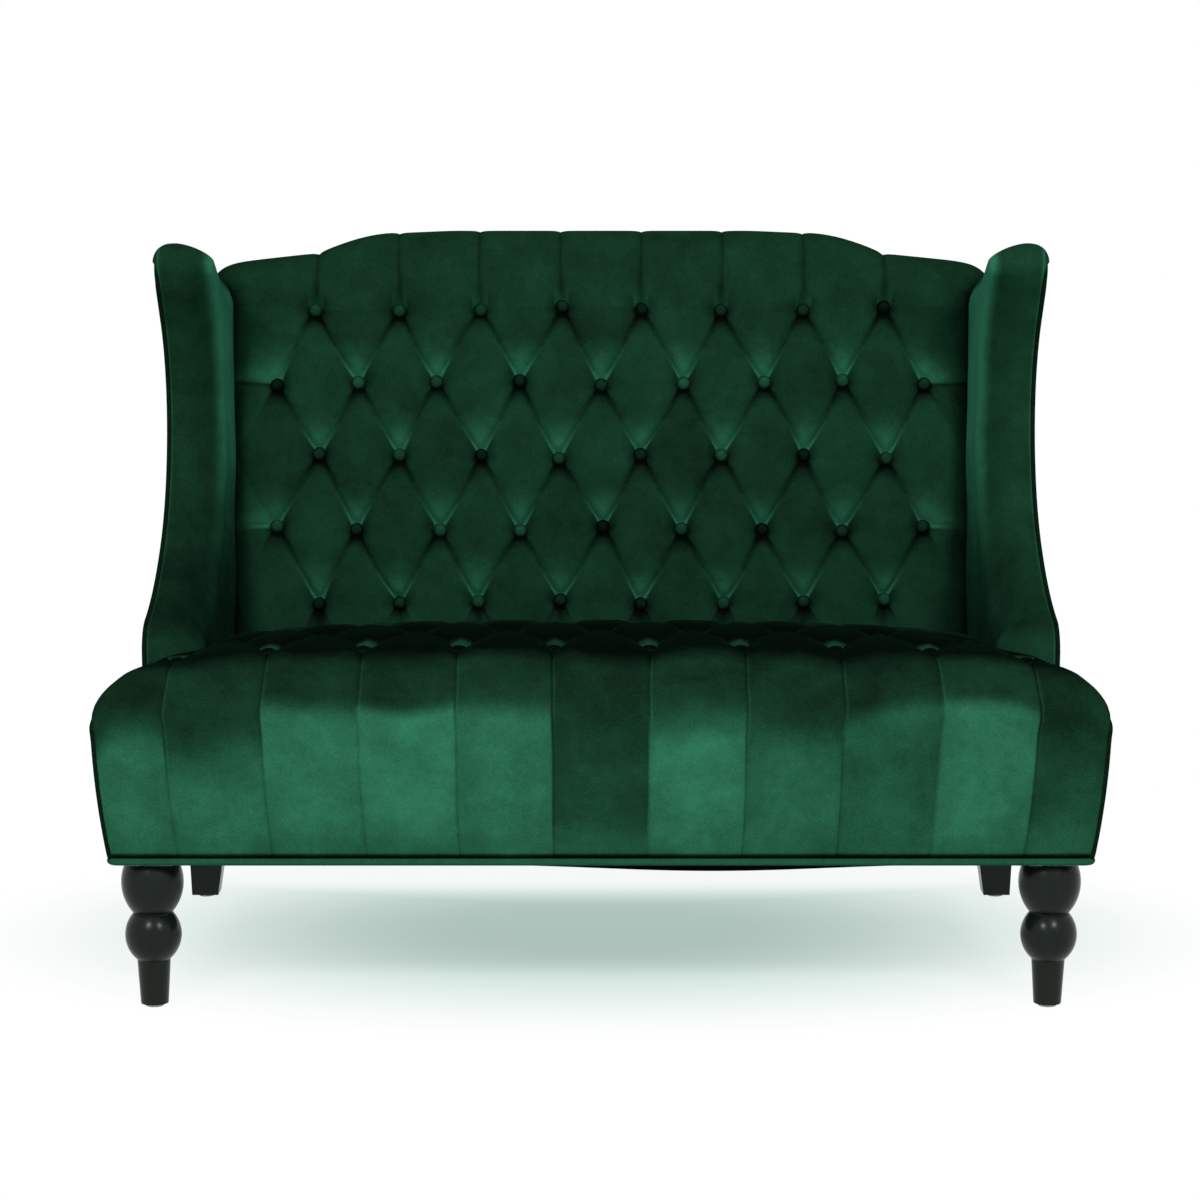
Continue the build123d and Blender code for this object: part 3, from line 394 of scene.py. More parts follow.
# %% Back sizes and lattice
LEAN = math.radians(6.0)
POST_FOOT_Y = 0.25385
FRAME_LOW = 0.190
BACK_FACE = -0.060
BACK_HALF = 0.546
BACK_CREASE = 0.5205
BACK_PITCH = 0.1144
BACK_RISE = 0.1035
TOP_ROW = 0.664
BACK_SWELL = 0.023
BACK_FOLD = 0.0048
BACK_RIDGE = 0.81
CREST = 0.7662
CREST_ROLL = 0.030
CREST_REAR = 0.027
ROLL_EXTRA = 0.017
LIP_DEPTH = 0.0285
REAR_EDGE_DROPS = np.array([[0.003], [0.012], [0.028]])
CREST_PLEAT_RUN = 0.5
FOOT_PLEAT_RUN = -0.3
back_rows = lattice_rows((8, 9, 8, 9, 8), BACK_PITCH, TOP_ROW, -BACK_RISE)
back_places = [place for row in back_rows for place in row]
back_pleats = tuft_pleats(back_rows, BACK_PITCH, CREST_PLEAT_RUN, FOOT_PLEAT_RUN, (1, 3))
print("back buttons:", len(back_places), "pleats:", len(back_pleats))


# %% Back helpers
SHOULDER_START = 0.287
SHOULDER_WIDTH = 0.115
SHOULDER_FALL = 0.031
SHOULDER_END = 0.402
SHOULDER_SLOPE = 0.117


def back_to_world(x, depth, height):
    """Turn a place in the upright back into the leaning one."""
    y = POST_FOOT_Y + depth * math.cos(LEAN) + height * math.sin(LEAN)
    z = FRAME_LOW - depth * math.sin(LEAN) + height * math.cos(LEAN)
    return np.stack([x, y, z], -1)


def crest_height(x):
    """Height of the crest: level in the middle, falling to low shoulders at the wings."""
    across = np.abs(x)
    fall = 0.003 * smooth_step(0.20, SHOULDER_START, across)
    curve = np.clip((across - SHOULDER_START) / SHOULDER_WIDTH, 0, 1)
    fall = fall + SHOULDER_FALL * curve ** 1.8
    fall = fall + SHOULDER_SLOPE * np.maximum(across - SHOULDER_END, 0)
    return CREST - fall


def hand_shift(across, up):
    """The slow unevenness of hand work, across and up the cloth."""
    side = 0.0020 * np.sin(9.0 * across + 23.0 * up) + 0.0012 * np.sin(31.0 * across - 12.0 * up)
    rise = 0.0026 * np.sin(13.0 * across - 17.0 * up + 1.0) + 0.0014 * np.sin(27.0 * across + 41.0 * up)
    return side, rise


def cell_tone(across, up, pitch, rise, low, high):
    """A steady tone for each diamond, as each lies a little differently."""
    first = np.floor((across / (pitch / 2) - up / rise + 1) / 2)
    second = np.floor((across / (pitch / 2) + up / rise + 1) / 2)
    mixed = np.sin(first * 12.9898 + second * 78.233) * 43758.5453
    return low + (high - low) * (mixed - np.floor(mixed))


print("crest falls by", round(float(CREST - crest_height(BACK_HALF)), 4), "m at the wings")

# %% Back cover rows
LOW_ROWS = 123
UPPER_ROWS = 30
ROLL_ROWS = 12
OVER_ROWS = 9
step_x = BACK_PITCH / 2 / CELLS
step_z = BACK_RISE / CELLS
side_columns = int(BACK_HALF / step_x)
columns_x = np.concatenate([[-BACK_HALF], np.arange(-side_columns, side_columns + 1) * step_x, [BACK_HALF]])
low_rows = np.arange(-LOW_ROWS, 1) * step_z + TOP_ROW
flat_x = columns_x[None, :]
top_z = crest_height(columns_x)[None, :]
rise_part = np.linspace(0, 1, UPPER_ROWS + 1)[1:, None]
upper_z = TOP_ROW + rise_part * (top_z - CREST_ROLL - TOP_ROW)
turns = np.radians(np.linspace(0, 90, ROLL_ROWS + 1)[1:, None])
over_depth = np.linspace(0, 1, OVER_ROWS + 1)[1:, None] * (CREST_REAR - BACK_FACE - CREST_ROLL)
plain = np.ones_like(flat_x)
face_rows = np.concatenate([low_rows[:, None] * plain, upper_z])
depth = np.concatenate([
    BACK_FACE * np.ones_like(face_rows),
    (BACK_FACE + CREST_ROLL * (1 - np.cos(turns))) * plain,
    (BACK_FACE + CREST_ROLL + over_depth) * plain,
    LIP_DEPTH * plain + 0 * REAR_EDGE_DROPS,
])
height = np.concatenate([
    face_rows,
    top_z - CREST_ROLL + CREST_ROLL * np.sin(turns),
    top_z + 0 * over_depth,
    top_z - REAR_EDGE_DROPS,
])
no_puff = 0 * REAR_EDGE_DROPS * plain
out_depth = np.concatenate([0 * face_rows - 1, -np.cos(turns) * plain, 0 * over_depth * plain, no_puff])
out_height = np.concatenate([0 * face_rows, np.sin(turns) * plain, plain + 0 * over_depth, no_puff])
run = np.concatenate([
    face_rows,
    top_z - CREST_ROLL + CREST_ROLL * turns,
    top_z + ROLL_EXTRA + over_depth,
    top_z + ROLL_EXTRA + over_depth[-1:] + REAR_EDGE_DROPS,
])
across = flat_x + 0 * run
rows, columns = across.shape
print("back grid:", rows, "rows of", columns, "places")

# %% Back cover swell
CREST_LOSS = 0.45
REAR_LOSS = 0.75
REAR_LOSS_RUN = 0.07
SIDE_FADE = 0.016
to_pleat, pleat_side = pleat_distance(across, run, back_pleats)
beside, over, to_button = button_offsets(across, run, back_places)
full = BACK_SWELL * (1 - CREST_LOSS * smooth_step(TOP_ROW, CREST, run))
full = full * (1 - REAR_LOSS * smooth_step(CREST, CREST + REAR_LOSS_RUN, run))
side_limit = BACK_CREASE + (BACK_HALF - BACK_CREASE) * smooth_step(CREST - 0.085, CREST - 0.050, run)
edge = 1 - np.exp(-np.maximum(side_limit + 0.002 - np.abs(across), 0) / SIDE_FADE)
puff = swell(to_pleat, to_button, full, BACK_FOLD, BACK_RIDGE) * edge
shift_x, shift_z = hand_shift(across, run)
hold = edge * smooth_step(CREST, TOP_ROW, run)
height = height + shift_z * hold + out_height * puff
points = back_to_world(across + shift_x * hold, depth + out_depth * puff, height)
print("back padding swells by up to", round(float(puff.max()), 4), "m")

# %% Back cover nap
# Painted light lies on the cloth above each button, inside the wedge between its pleats, and
# painted shade below it.
SHINE = 1.05
SHINE_REACH = 0.026
WING_SHINE_WIDTH = 0.034
CREST_TONE = 0.38
lean_pleat = BACK_PITCH / 2 / BACK_RISE
spread = np.where(run > TOP_ROW, 0.009 + 0.10 * np.abs(over), 0.004 + lean_pleat * np.abs(over))
in_tip = smooth_step(1.10, 0.94, np.abs(beside) / spread)
shine = np.where(run > TOP_ROW, 0.30 * smooth_step(0.034, 0.012, over), SHINE)
fading_up = np.exp(-(np.maximum(over, 0) / SHINE_REACH) ** 1.4)
painted_light_above_button = shine * in_tip * fading_up * (over > -0.003)
painted_shade_below_button = in_tip * np.exp(-(np.maximum(-over, 0) / 0.020) ** 2) * (over < 0)
# Beside the wings, the end buttons of the rows of nine have a wide patch of painted light instead.
by_wing = (np.abs(across) > 4 * BACK_PITCH) & (np.abs(across - beside) > 3.9 * BACK_PITCH)
painted_light_by_wing = SHINE * fading_up * np.exp(-np.abs(beside) / WING_SHINE_WIDTH)
painted_light_above_button = np.where(by_wing & (over > 0), painted_light_by_wing, painted_light_above_button)
# Each diamond has a tone of its own, and the crest one plain tone.
tones = cell_tone(across, run - TOP_ROW, BACK_PITCH, BACK_RISE, 0.33, 0.43)
tones = np.where(run > TOP_ROW, CREST_TONE, tones)
# Over the crest the cloth is painted a little lighter, a painted highlight.
nap = tones + painted_light_above_button - 0.44 * painted_shade_below_button + 0.08 * smooth_step(CREST - 0.012, CREST + 0.012, run)
# A pleat is painted dark below its lip, as shade, and a little lighter above, as a highlight. The
# cloth is painted dark with shade at the sides by the wings, and in a thin arc under each button,
# a painted shadow.
pleat_painted_shade_and_light = np.exp(-to_pleat / 0.0018)
nap = nap + (0.20 * np.maximum(pleat_side, 0) - 0.14) * pleat_painted_shade_and_light - 0.16 * (1 - edge)
nap = nap - 0.26 * np.exp(-((to_button - 0.0100) / 0.0035) ** 2) * smooth_step(0.006, -0.006, over)
print("back nap from", round(float(nap.min()), 2), "to", round(float(nap.max()), 2))

# %% Back cover mesh
rising = cell_diagonals(across, run - TOP_ROW, BACK_PITCH, BACK_RISE)[0]
faces = grid_faces(rows, columns, rising, all_cells(rows, columns))
back_cover = make_piece("back_tufted_cover", points.reshape(-1, 3), faces, nap, tufted_velvet)
dress(back_cover, "green_velvet", "back_cover")
print("back cover:", len(faces), "triangles")

# %% [markdown]
# ## The seat
# The seat cover is one panel. It is tufted on top, where it falls a little towards the back, and
# from its front row of buttons ten straight pleats run forward, over a soft roll and down to the
# bottom edge. In front of the arms it widens into two ears. The panel is a grid again: rows run
# from the bottom edge up the front, round the roll and back along the top. Light and shade are
# painted into its tone: the front painted lit, the band over the roll half lit, and the top nearly
# black with painted shade. On the front each panel between two pleats has its own tone, partly from
# the lie of the pile.

# %% Seat sizes and lattice
SEAT_FALL = math.radians(5.0)
SEAT_PITCH = 0.1194
SEAT_DEPTH_PITCH = 0.100 * math.cos(SEAT_FALL)
SEAT_ROW_ONE = -0.245
SEAT_SWELL = 0.018
FRONT_SWELL = 0.0045
SEAT_RIDGE = 0.62
SEAT_CROWN = 0.030
SEAT_HALF = 0.519
SEAT_LOW = 0.2020
UNDER_Z = 0.1896
UNDER_ROWS = 5
FRONT_LOW_Y = -0.347
FRONT_ROLL = 0.058
EAR_FRONT_ROLL = 0.026
EAR_HALF = 0.6243
EAR_NARROWING = 0.47
EAR_ROLL = 0.056
EAR_BACK = -0.158
SEAT_REAR = 0.186
FRONT_PLEAT_RUN = -0.6
REAR_PLEAT_RUN = 0.3
seat_rows = lattice_rows((10, 9, 8, 9), SEAT_PITCH, SEAT_ROW_ONE, SEAT_DEPTH_PITCH)
seat_places = [place for row in seat_rows for place in row]
seat_pleats = tuft_pleats(seat_rows, SEAT_PITCH, FRONT_PLEAT_RUN, REAR_PLEAT_RUN, (2,))
print("seat buttons:", len(seat_places), "pleats:", len(seat_pleats))


# %% Seat helpers
SEAT_HEIGHT = 0.432
SEAT_HEIGHT_Y = -0.300
CROWN_Y = -0.08
CROWN_HALF_DEPTH = 0.25
CROWN_HALF_WIDTH = 0.60
EAR_SLOPE = 0.010


def seat_plane(y):
    """Height of the seat under its tufts."""
    return SEAT_HEIGHT - (y - SEAT_HEIGHT_Y) * math.tan(SEAT_FALL)


def seat_shift(across, ahead):
    """The slow unevenness of hand work on the seat, which goes sideways only."""
    return hand_shift(across, ahead * 1.3 + 0.4)[0]


def ear_fall(x):
    """How far the top drops towards the side of an ear."""
    across = np.abs(x)
    over_edge = np.clip((across - EAR_HALF) / EAR_ROLL + 0.95, 0, 0.95)
    return EAR_SLOPE * smooth_step(0.48, 0.60, across) + EAR_ROLL * (1 - np.sqrt(1 - over_edge ** 2))


def seat_crown(x, y):
    """The swell of the whole seat, highest in the middle."""
    lengthways = np.clip(1 - ((y - CROWN_Y) / CROWN_HALF_DEPTH) ** 2, 0, 1)
    return SEAT_CROWN * lengthways * np.clip(1 - (x / CROWN_HALF_WIDTH) ** 4, 0, 1)


FACE_LEAN = math.atan2(0.014, 0.174)
FRONT_TOP_Y = -0.3645
corner_z = float(seat_plane(FRONT_TOP_Y))
roll_turn = math.pi / 2 - FACE_LEAN + SEAT_FALL
print("front roll turns by", round(math.degrees(roll_turn), 1), "degrees below", round(corner_z, 4))

# %% Seat cover rows
FACE_ROWS = 36
FRONT_ROLL_ROWS = 19
NEAR_ROWS = 15
REAR_EAR_SLOPE = 0.016
step_x = SEAT_PITCH / 2 / CELLS
step_y = SEAT_DEPTH_PITCH / CELLS
half_columns = int(EAR_HALF / step_x)
columns_x = np.concatenate([[-EAR_HALF], np.arange(-half_columns, half_columns + 1) * step_x, [EAR_HALF]])
flat_x = columns_x[None, :]
drop = ear_fall(columns_x)[None, :]
roll_r = FRONT_ROLL + (EAR_FRONT_ROLL - FRONT_ROLL) * smooth_step(0.52, EAR_HALF, np.abs(flat_x))
setback = roll_r * math.tan(roll_turn / 2)
start_y = FRONT_TOP_Y + setback * math.cos(SEAT_FALL)
start_z = corner_z - setback * math.sin(SEAT_FALL)
turns = np.linspace(roll_turn, 0, FRONT_ROLL_ROWS)[:, None]
roll_y = start_y - roll_r * (math.sin(SEAT_FALL) + np.sin(turns - SEAT_FALL))
roll_z = start_z - roll_r * (math.cos(SEAT_FALL) - np.cos(turns - SEAT_FALL))
face_steps = np.linspace(0.03, 1, FACE_ROWS)[:-1]
face_part = np.concatenate([np.zeros(UNDER_ROWS + 3), [0.015], face_steps])[:, None]
under_rail = np.linspace(0.047, 0.0165, UNDER_ROWS)
tuck = np.concatenate([under_rail, [0.010, 0.006, 0.003, 0.001], 0 * face_steps])[:, None]
face_y = FRONT_LOW_Y + tuck + face_part * (roll_y[:1] - FRONT_LOW_Y)
face_z = SEAT_LOW - np.minimum(0.8 * tuck, SEAT_LOW - UNDER_Z) + face_part * (roll_z[:1] - drop - SEAT_LOW)
near_y = start_y + np.linspace(0, 1, NEAR_ROWS + 1)[1:, None] * (SEAT_ROW_ONE - start_y)
far_y = SEAT_ROW_ONE + np.arange(1, int((SEAT_REAR - SEAT_ROW_ONE) / step_y) + 1)[:, None] * step_y
top_y = np.concatenate([near_y, far_y + 0 * flat_x])
base_y = np.concatenate([face_y, roll_y, top_y])
rear_slope = REAR_EAR_SLOPE * smooth_step(0.55, 0.60, np.abs(flat_x)) * smooth_step(-0.31, -0.17, top_y)
base_z = np.concatenate([face_z, roll_z - drop, seat_plane(top_y) - drop - rear_slope])
out_turn = np.concatenate([roll_turn + 0 * face_y, turns + 0 * flat_x, 0 * top_y]) - SEAT_FALL
out_y, out_z = -np.sin(out_turn), np.cos(out_turn)
ahead = np.concatenate([
    start_y - roll_r * roll_turn - (roll_z[:1] - drop - face_z),
    start_y - roll_r * turns,
    top_y,
])
across = flat_x + 0 * base_y
rows, columns = across.shape
print("seat grid:", rows, "rows of", columns, "places")

# %% Seat cover swell
SEAT_FOLD = 0.011
FRONT_FOLD_LOSS = 0.005
NARROW_BELOW_Z = 0.375
BULGE_Z = 0.388
EAR_CORNER_CUT = 0.016
to_pleat, pleat_side = pleat_distance(across, ahead, seat_pleats)
beside, over, to_button = button_offsets(across, ahead, seat_places)
on_front = smooth_step(SEAT_ROW_ONE - 0.02, SEAT_ROW_ONE - 0.12, ahead)
full = SEAT_SWELL * (1 - 0.35 * (across / SEAT_HALF) ** 2) * (1 - on_front) + FRONT_SWELL * on_front
full = np.maximum(full, 0.004) * smooth_step(SEAT_LOW - 0.002, SEAT_LOW + 0.03, base_z)
fold = SEAT_FOLD - FRONT_FOLD_LOSS * on_front
puff = swell(to_pleat, to_button, full, fold, SEAT_RIDGE)
wing_edge = 1 - np.exp(-np.maximum(SEAT_HALF + 0.003 - np.abs(across), 0) / 0.020)
behind_ears = smooth_step(EAR_BACK - 0.06, EAR_BACK + 0.02, base_y)
puff = puff * (1 - behind_ears * (1 - wing_edge))
ear_edge = np.clip((EAR_HALF - np.abs(across)) / 0.03, 0, 1)
puff = puff * np.sqrt(ear_edge)
taper = 1 - EAR_NARROWING * np.maximum(NARROW_BELOW_Z - base_z, 0) ** 2 / EAR_HALF * on_front
taper = taper + 0.006 * np.exp(-((base_z - BULGE_Z) / 0.020) ** 2) * on_front
shift_x = seat_shift(across, ahead)
hold = (1 - 0.75 * on_front) * wing_edge * (1 - behind_ears) + behind_ears * wing_edge
ear_corner = EAR_CORNER_CUT * smooth_step(EAR_BACK - 0.070, EAR_BACK + 0.005, base_y)
ear_corner = ear_corner * smooth_step(0.57, EAR_HALF, np.abs(across))
points = np.stack([
    across * taper + shift_x * hold * ear_edge - np.sign(across) * ear_corner,
    base_y + out_y * puff,
    base_z + out_z * puff + seat_crown(across, base_y),
], -1)
print("seat padding swells by up to", round(float(puff.max()), 4), "m")

# %% Seat front tones
# Eleven panels, the two ears included, lie between and beside the ten pleats. Each has a tone on
# the front, painted as lit, a tone in the band over the roll, painted half lit, and a length over
# which the two blend. The tones differ between panels too, partly from the lie of the pile.
PANEL_TONES = [0.78, 0.84, 0.85, 0.89, 0.82, 0.50, 0.88, 0.74, 0.65, 0.84, 0.54]
BAND_TONES = [0.27, 0.33, 0.31, 0.31, 0.38, 0.28, 0.35, 0.31, 0.29, 0.38, 0.28]
FADE_LENGTHS = [0.070, 0.140, 0.036, 0.024, 0.040, 0.100, 0.070, 0.090, 0.028, 0.024, 0.100]
LOW_FRONT_TONE = 0.76
BAND_START = -0.274
BAND_END = -0.336
LIT_START = -0.369
panel_place = across / SEAT_PITCH + len(PANEL_TONES) / 2
panel = np.clip(np.floor(panel_place), 0, len(PANEL_TONES) - 1).astype(int)
front_tone = np.array(PANEL_TONES)[panel]
front_tone = front_tone + (LOW_FRONT_TONE - front_tone) * 0.7 * smooth_step(0.27, 0.205, base_z)
front_tone = front_tone - 0.05 * np.abs(panel_place - panel - 0.5) * 2
ragged = 0.007 * np.sin(23 * across + 1.0) + 0.003 * np.sin(47 * across)
half_lit = smooth_step(BAND_START, BAND_END, ahead + ragged)
full_lit = smooth_step(LIT_START, LIT_START - np.array(FADE_LENGTHS)[panel], ahead + ragged)
print("panels on the seat front:", len(PANEL_TONES))

# %% Seat cover nap
# The top is painted nearly black, as shade, with a painted light notch behind each button of the
# first row, and the painted shade gets lighter towards the back. Each diamond has a tone of its own.
NOTCH_LIGHT = 0.58
REAR_TOP_LIGHT = 0.36
EAR_SIDE_TONE = 0.36
in_notch = smooth_step(1.15, 0.90, np.abs(beside) / (0.004 + 0.58 * np.abs(over)))
first_row = (ahead > SEAT_ROW_ONE - 0.003) & (ahead < SEAT_ROW_ONE + 0.05)
notch = in_notch * smooth_step(0.030, 0.018, over) * smooth_step(0.004, 0.010, over) * first_row
top_tone = cell_tone(across, ahead - SEAT_ROW_ONE, SEAT_PITCH, SEAT_DEPTH_PITCH, -0.11, -0.03)
top_tone = top_tone + NOTCH_LIGHT * notch + REAR_TOP_LIGHT * smooth_step(-0.14, 0.04, ahead)
nap = top_tone + (np.array(BAND_TONES)[panel] - top_tone) * half_lit
nap = nap + (front_tone - nap) * full_lit
# The sides of the ears are painted half lit. Each pleat is a fine dark line of painted shade, with a
# painted highlight beside it in the half-lit band, and the bottom edge is painted dark, as shade.
ear_side = smooth_step(EAR_HALF - 0.040, EAR_HALF - 0.002, np.abs(across)) * (1 - full_lit)
nap = nap + (EAR_SIDE_TONE - nap) * 0.8 * ear_side
nap = nap + (0.12 * np.maximum(pleat_side, 0) - 0.12) * np.exp(-to_pleat / 0.0014)
pleat_light = np.exp(-((beside - step_x) / 0.0015) ** 2) * half_lit * (1 - full_lit)
nap = nap + 0.18 * pleat_light
nap = nap - 0.9 * smooth_step(SEAT_LOW + 0.006, SEAT_LOW - 0.001, base_z)
print("seat nap from", round(float(nap.min()), 2), "to", round(float(nap.max()), 2))

# %% Seat cover faces
rising, mid_u = cell_diagonals(across, ahead - SEAT_ROW_ONE, SEAT_PITCH, SEAT_DEPTH_PITCH)
inside = np.abs(mid_u) * SEAT_PITCH / 2 < SEAT_HALF
in_front = (base_y[:-1, :-1] + base_y[1:, 1:]) / 2 < EAR_BACK
faces = grid_faces(rows, columns, rising, inside | in_front)
print("seat top:", len(faces), "triangles")

# %% Ear sides
EAR_FOOT_Z = 0.195
EAR_REAR_INNER = 0.560
EAR_BULGE = 0.004
EAR_WALL_NAP = 0.40
stop = int(np.argmax(base_y[:, -1] >= EAR_BACK - 0.002))
edge_stop = int(np.argmax(out_turn[:, -1] < 0.5))
seat_edges = {column: points[UNDER_ROWS:edge_stop, column].copy() for column in (0, -1)}
wall_points = [points.reshape(-1, 3)]
wall_faces = [faces]
wall_light_and_nap = [nap.ravel()]
down = np.linspace(0, 1, 14)


def add_wall(top, foot, out_bulge, flip):
    """A soft wall between a top line and a foot line, swelling sideways."""
    wall = top[:, None] + (foot - top)[:, None] * down[None, :, None]
    wall[..., 0] = wall[..., 0] + out_bulge[:, None] * np.sin(np.pi * down)[None, :]
    cells = all_cells(len(top), len(down))
    first_place = sum(len(part) for part in wall_points)
    wall_faces.append(grid_faces(len(top), len(down), cells, cells)[:, ::-1 if flip else 1] + first_place)
    wall_points.append(wall.reshape(-1, 3))
    wall_light_and_nap.append(np.full(wall.shape[0] * wall.shape[1], EAR_WALL_NAP))


for column, sign in ((-1, 1), (0, -1)):
    edge = points[UNDER_ROWS:stop + 1, column]
    share = np.concatenate([[0], np.cumsum(np.linalg.norm(np.diff(edge, axis=0), axis=1))])
    share = share / share[-1]
    foot = np.column_stack([np.full(len(edge), edge[0, 0]), edge[0, 1] + (EAR_BACK - edge[0, 1]) * share,
                            np.full(len(edge), EAR_FOOT_Z)])
    add_wall(edge, foot, sign * EAR_BULGE * np.sin(np.pi * share), sign < 0)
    at_rear = sign * columns_x >= EAR_REAR_INNER
    top = points[stop, at_rear]
    foot = top.copy()
    foot[:, 0] = np.minimum(np.abs(top[:, 0]), abs(edge[0, 0])) * sign
    foot[:, 2] = EAR_FOOT_Z
    add_wall(top, foot, np.zeros(len(top)), True)
seat_cover = make_piece("seat_tufted_cover", np.concatenate(wall_points), np.concatenate(wall_faces),
                        np.concatenate(wall_light_and_nap), tufted_velvet)
dress(seat_cover, "green_velvet", "seat_cover")
print("seat cover with ear sides:", sum(len(part) for part in wall_faces), "triangles")

# %% [markdown]
# ## The wings
# Seen from the side, each wing is one flowing outline: a short upright front, a small roll, a long
# sweep up to the waist, and a forward lean to a round tip. The pad wraps that outline. Across its
# edge it is nearly flat at the outside, where the welt is sewn, and rolls softly to the inside.
# The outline is sampled from lines and tangent arcs, and the rounded edge is swept along it.


# %% Wing outline helpers
def tangent_arc(start, heading, end, count):
    """Places on the arc that leaves start along heading and reaches end."""
    chord = np.subtract(end, start)
    reach = math.hypot(*chord)
    turn = math.atan2(heading[0] * chord[1] - heading[1] * chord[0], float(np.dot(heading, chord)))
    angles = np.linspace(0, 2 * turn, count)
    radius = reach / (2 * math.sin(turn))
    side = np.array([-heading[1], heading[0]])
    places = np.array(start) + radius * (np.sin(angles)[:, None] * np.array(heading)
                                         + (1 - np.cos(angles))[:, None] * side)
    leave = (heading[0] * math.cos(2 * turn) - heading[1] * math.sin(2 * turn),
             heading[0] * math.sin(2 * turn) + heading[1] * math.cos(2 * turn))
    return places, leave


def straight(start, end, count):
    """Places on a straight run."""
    return np.linspace(start, end, count)


def even_steps(path, step):
    """The same path with places at even distances."""
    lengths = np.concatenate([[0], np.cumsum(np.hypot(*np.diff(path, axis=0).T))])
    wanted = np.linspace(0, lengths[-1], int(lengths[-1] / step) + 1)
    return np.stack([np.interp(wanted, lengths, path[:, 0]), np.interp(wanted, lengths, path[:, 1])], -1)


print("arc, straight run and even steps ready")

# %% Wing outline
ARM_FRONT = -0.158
ARM_LOW = 0.305
ARM_TOP = 0.430
ARM_ROLL = 0.041
ARM_TURN = math.radians(74.0)
SWEEP_PLACE = (0.030, 0.555)
WAIST_PLACE = (0.108, 0.714)
NECK_PLACE = (0.062, 0.850)
REAR_PLACE = (0.3535, 0.9105)
TIP_CORNER = np.array([-0.029, 0.962])
TIP_ROUND = 0.025
OUTLINE_STEP = 0.004
arm_end = (ARM_FRONT + ARM_ROLL * (1 - math.cos(ARM_TURN)), ARM_TOP + ARM_ROLL * math.sin(ARM_TURN))
roll, heading = tangent_arc((ARM_FRONT, ARM_TOP), (0.0, 1.0), arm_end, 20)
sweep_low, heading = tangent_arc(arm_end, heading, SWEEP_PLACE, 40)
sweep_up, heading = tangent_arc(SWEEP_PLACE, heading, WAIST_PLACE, 40)
sweep_out, heading = tangent_arc(WAIST_PLACE, heading, NECK_PLACE, 30)
lean_dir = np.array([-0.091, 0.109]) / math.hypot(0.091, 0.109)
top_dir = np.array([0.393, -0.052]) / math.hypot(0.393, 0.052)
tip_angle = math.acos(float(np.dot(-lean_dir, top_dir)))
tip_back = TIP_ROUND / math.tan(tip_angle / 2)
tip_start = TIP_CORNER - lean_dir * tip_back
tip_end = TIP_CORNER + top_dir * tip_back
tip = tangent_arc(tip_start, lean_dir, tip_end, 24)[0]
outline = np.concatenate([
    straight((ARM_FRONT, ARM_LOW), (ARM_FRONT, ARM_TOP), 20),
    roll[1:], sweep_low[1:], sweep_up[1:], sweep_out[1:],
    straight(NECK_PLACE, tip_start, 20)[1:], tip[1:], straight(tip_end, REAR_PLACE, 50)[1:],
])
outline = even_steps(outline, OUTLINE_STEP)
print("wing outline:", len(outline), "places, tip at", outline[:, 1].max().round(4))

# %% Wing directions
# The soft edge rolls inwards along a direction that turns more slowly than the outline does.
EASE_REACH = 90
EASE_WIDTH = 32
ahead_dir = np.gradient(outline, axis=0)
ahead_dir = ahead_dir / np.hypot(*ahead_dir.T)[:, None]
outward = np.stack([-ahead_dir[:, 1], ahead_dir[:, 0]], -1)
reach = np.arange(-EASE_REACH, EASE_REACH + 1)
weights = np.exp(-(reach / EASE_WIDTH) ** 2)
weights = weights / weights.sum()
longer = np.pad(outward, ((EASE_REACH, EASE_REACH), (0, 0)), mode="edge")
eased = np.stack([np.convolve(longer[:, k], weights, mode="valid") for k in (0, 1)], -1)
eased = eased / np.hypot(*eased.T)[:, None] ** 0.6
print("eased directions:", eased.shape[0])

# %% Wing pad rim
EDGE_OUTER = 0.5913
TOP_OUTER = 0.5990
EDGE_INNER = 0.5200
EDGE_PEAK = 0.567
INNER_ROUND = 0.062
OUTER_STEPS = 17
INNER_STEPS = 26
tip_index = np.argmax(outline[:, 1])
past_tip = np.arange(len(outline)) > tip_index
on_top = np.where(past_tip, 1.0, smooth_step(0.885, 0.945, outline[:, 1]))[:, None]
rear_part = smooth_step(0.20, 0.345, outline[:, :1])
outer_x = EDGE_OUTER + (TOP_OUTER - EDGE_OUTER) * on_top * (1 - 0.5 * rear_part)
outer_turn = np.radians(np.linspace(90, 0, OUTER_STEPS))
inner_turn = np.radians(np.linspace(0, 90, INNER_STEPS + 1)[1:])
outside = np.concatenate([np.sin(outer_turn), np.zeros(INNER_STEPS)])[None, :]
inside_part = np.concatenate([np.zeros(OUTER_STEPS), np.sin(inner_turn)])[None, :]
edge_x = EDGE_PEAK + (outer_x - EDGE_PEAK) * outside + (EDGE_INNER - EDGE_PEAK) * inside_part
sewn_edge = 0.003 * outside ** 2
round_edge = 0.027 * (1 - np.sqrt(1 - 0.998 * outside ** 2.8))
edge_out = -(sewn_edge + (round_edge - sewn_edge) * on_top)
arch = 0.40 * inside_part ** 1.3 + 0.60 * (1 - np.sqrt(1 - 0.9995 * inside_part ** 2))
past = (np.arange(len(outline)) - tip_index)[:, None] * OUTLINE_STEP
edge_in = -INNER_ROUND * arch * (1 - 0.32 * np.exp(-(past / 0.060) ** 2))
rim_y = outline[:, :1] + outward[:, :1] * edge_out + eased[:, :1] * edge_in
rim_z = outline[:, 1:] + outward[:, 1:] * edge_out + eased[:, 1:] * edge_in
print("wing rim:", rim_y.shape)

